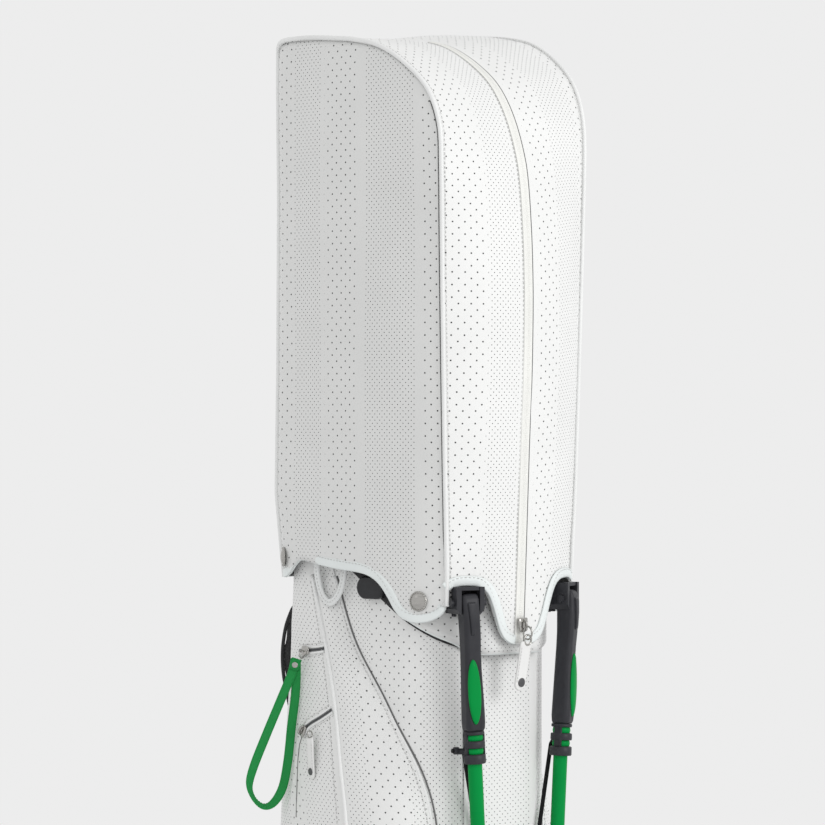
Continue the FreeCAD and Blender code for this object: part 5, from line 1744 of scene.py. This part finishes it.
def mirrored_copy(obj):
    data = obj.data.copy()
    data.transform(Matrix.Scale(-1, 4, X_AXIS))
    data.flip_normals()
    piece = bpy.data.objects.new(obj.name + "_other", data)
    bpy.context.scene.collection.objects.link(piece)
    return piece


def strap_webbing():
    """Hinge bar, fold of webbing, lower webbing and ladder buckle of one strap, and their mirror."""
    upper = [mm(-STRAP_X, y, z) for y, z in ((103.0, 804.0), (103.6, 799.0), (105.0, 799.0), (107.5, 795.0))]
    lower = [mm(-STRAP_X, y, z) for y, z in ((106.1, 410.0), (105.0, 385.0), (104.4, 365.0), (103.6, 350.0))]
    section = flat_section(34.0, 1.8, -0.9)
    parts = []
    for line in (upper, lower):
        parts.append(sweep("w", evenly(catmull(line, 6), 2.0 * MM), Y_AXIS, section, M["webbing"]))
    parts.append(sweep("bar", [mm(-STRAP_X - 22.0, 100, 806), mm(-STRAP_X + 22.0, 100, 806)], Z_AXIS,
                       ring_section(2.4, 20), M["steel"]))
    bars = [((-19.5, z), (19.5, z), 2.0) for z in (332.5, 341.0, 349.5)]
    bars += [((x, 331.5), (x, 350.5), 2.4) for x in (-19.5, 19.5)]
    for (x0, z0), (x1, z1), radius in bars:
        ends = [mm(-STRAP_X + x0, 103.5, z0), mm(-STRAP_X + x1, 103.5, z1)]
        parts.append(sweep("buckle_bar", ends, Y_AXIS, ring_section(radius, 14), M["plastic"]))
    left = join(parts, "strap_webbing_left")
    right = mirrored_copy(left)
    right.name = "strap_webbing_right"
    place(left, "strap_left", "black_fabric", "strap_web_left")
    place(right, "strap_right", "black_fabric", "strap_web_right")


def spine_handle():
    """Carry handle: a padded white grip on a webbing core, sewn down at both ends."""
    points = [mm(0, y, z) for y, z in ((100.0, 640.0), (111.0, 630.0), (121.6, 604.0), (124.6, 560.0),
                                       (121.6, 516.0), (111.0, 490.0), (100.0, 480.0))]
    path = evenly(catmull(points, 10), 3.0 * MM)
    count = len(path)
    rings = []
    ups = []
    for i, p in enumerate(path):
        out = backward(path, i)
        ups.append(out)
        share = i / (count - 1)
        fat = math.sin(math.pi * share) ** 0.35 if 0 < share < 1 else 0.0
        rings.append([p + X_AXIS * ((8.2 + 2.2 * fat) * c * MM) + out * ((1.5 + 1.7 * fat) * s * MM)
                      for c, s in circle(24)])
    grip = lofted("grip", rings, M["white"])
    threads = []
    for x in (-6.0, 6.0):
        line = [p + X_AXIS * (x * MM) + u * (2.6 * MM) for p, u in zip(path, ups)]
        threads.append(stitches("t", line[6:-6], ups[6:-6], M["thread"]))
    place(grip, "bag", "white_leather", "grab_handle")
    grip.name = "spine_handle_grip"
    place(join(threads, "spine_handle_stitching"), "bag", "white_leather")


strap_pad_pair()
strap_webbing()
spine_handle()


# ------------------------------------------------------------------ finishes of the CAD pieces that stay

FINISHES = {
    "plastic": ["base_cup", "top_collar", "leg_bracket_left", "leg_bracket_right",
                "divider_bar_long", "divider_bars_cross", "spine_plate", "strap_anchors", "hinge_pins",
                "bracket_screws"],
    "gloss": ["collar_boss"],
    "rubber": ["base_pads", "leg_foot_left", "leg_foot_right"],
    "fabric": ["collar_cuff", "divider_sheet_long", "divider_sheets_cross"],
    "green_plastic": ["leg_inlay_left", "leg_inlay_right"],
    "green_tube": ["leg_tube_left", "leg_tube_right"],
    "rod": ["rod_left", "rod_right"],
    "chrome": ["hood_slider", "snap_studs"],
    "glass": ["spine_stays"],
}
SLOT_FINISH = {"hood_leather": "white", "binding": "binding", "white_leather": "white",
               "black_plastic": "plastic",
               "black_fabric": "fabric", "lining": "lining", "rubber": "rubber", "green_tube": "green_tube",
               "green_plastic": "green_plastic", "green_webbing": "green_webbing", "rod_steel": "rod",
               "chrome": "chrome", "steel": "steel", "zip_track": "track", "tpu_loop": "tpu",
               "tab_leather": "tab",
               "fibreglass": "glass"}


def finish_nodes():
    named = {node: key for key, nodes in FINISHES.items() for node in nodes}
    for name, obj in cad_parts.items():
        key = named.get(name)
        if key is None:
            slot = obj.data.materials[0].name if obj.data.materials else ""
            key = next((k for s, k in SLOT_FINISH.items() if slot.startswith(s)), "white")
        for i in range(max(len(obj.data.materials), 1)):
            if i < len(obj.data.materials):
                obj.data.materials[i] = M[key]
            else:
                obj.data.materials.append(M[key])


finish_nodes()


# ------------------------------------------------------------------ studio

WORLD_GREY = 0.846
LIGHTS = [  # name, place, size, watts, aim
    ("key", (0.4, -2.8, 1.8), 1.5, 27.0, (0, 0, 0.95)),
    ("edge", (-2.2, 1.2, 2.2), 1.2, 0.8, (0, 0, 1.1))]
FLOOR_RADIUS = 3.0
CAMERA_AIM = Vector((-0.01095, 0.01132, 0.961))
CAMERA_WAY = Vector((-0.71934, -0.69466, 0))
CAMERA_DISTANCE = 3.6
CAMERA_LENS = 174.0


def aimed(name, data, spot, aim):
    """A light or camera in the scene, turned to look at a point."""
    obj = bpy.data.objects.new(name, data)
    obj.location = spot
    obj.rotation_euler = (aim - spot).to_track_quat("-Z", "Y").to_euler()
    bpy.context.scene.collection.objects.link(obj)
    return obj


def build_studio():
    scene = bpy.context.scene
    world = bpy.data.worlds.new("studio")
    world.use_nodes = True
    sky = world.node_tree.nodes["Background"]
    sky.inputs["Color"].default_value = (WORLD_GREY, WORLD_GREY, WORLD_GREY, 1)
    sky.inputs["Strength"].default_value = 1.0
    scene.world = world
    scene.view_settings.view_transform = "Standard"
    scene.view_settings.look = "None"

    for name, spot, size, power, aim in LIGHTS:
        light = bpy.data.lights.new(name, "AREA")
        light.shape = "DISK"
        light.size = size
        light.energy = power
        aimed(name, light, Vector(spot), Vector(aim))

    rim = [Vector((FLOOR_RADIUS * c, FLOOR_RADIUS * s, 0)) for c, s in circle(96)]
    new_mesh("studio_floor", rim, [list(range(96))], [floor_finish()])

    camera = bpy.data.cameras.new("camera")
    camera.lens = CAMERA_LENS
    camera.sensor_width = 36.0
    camera.clip_end = 50.0
    scene.camera = aimed("camera", camera, CAMERA_AIM + CAMERA_DISTANCE * CAMERA_WAY, CAMERA_AIM)


build_studio()
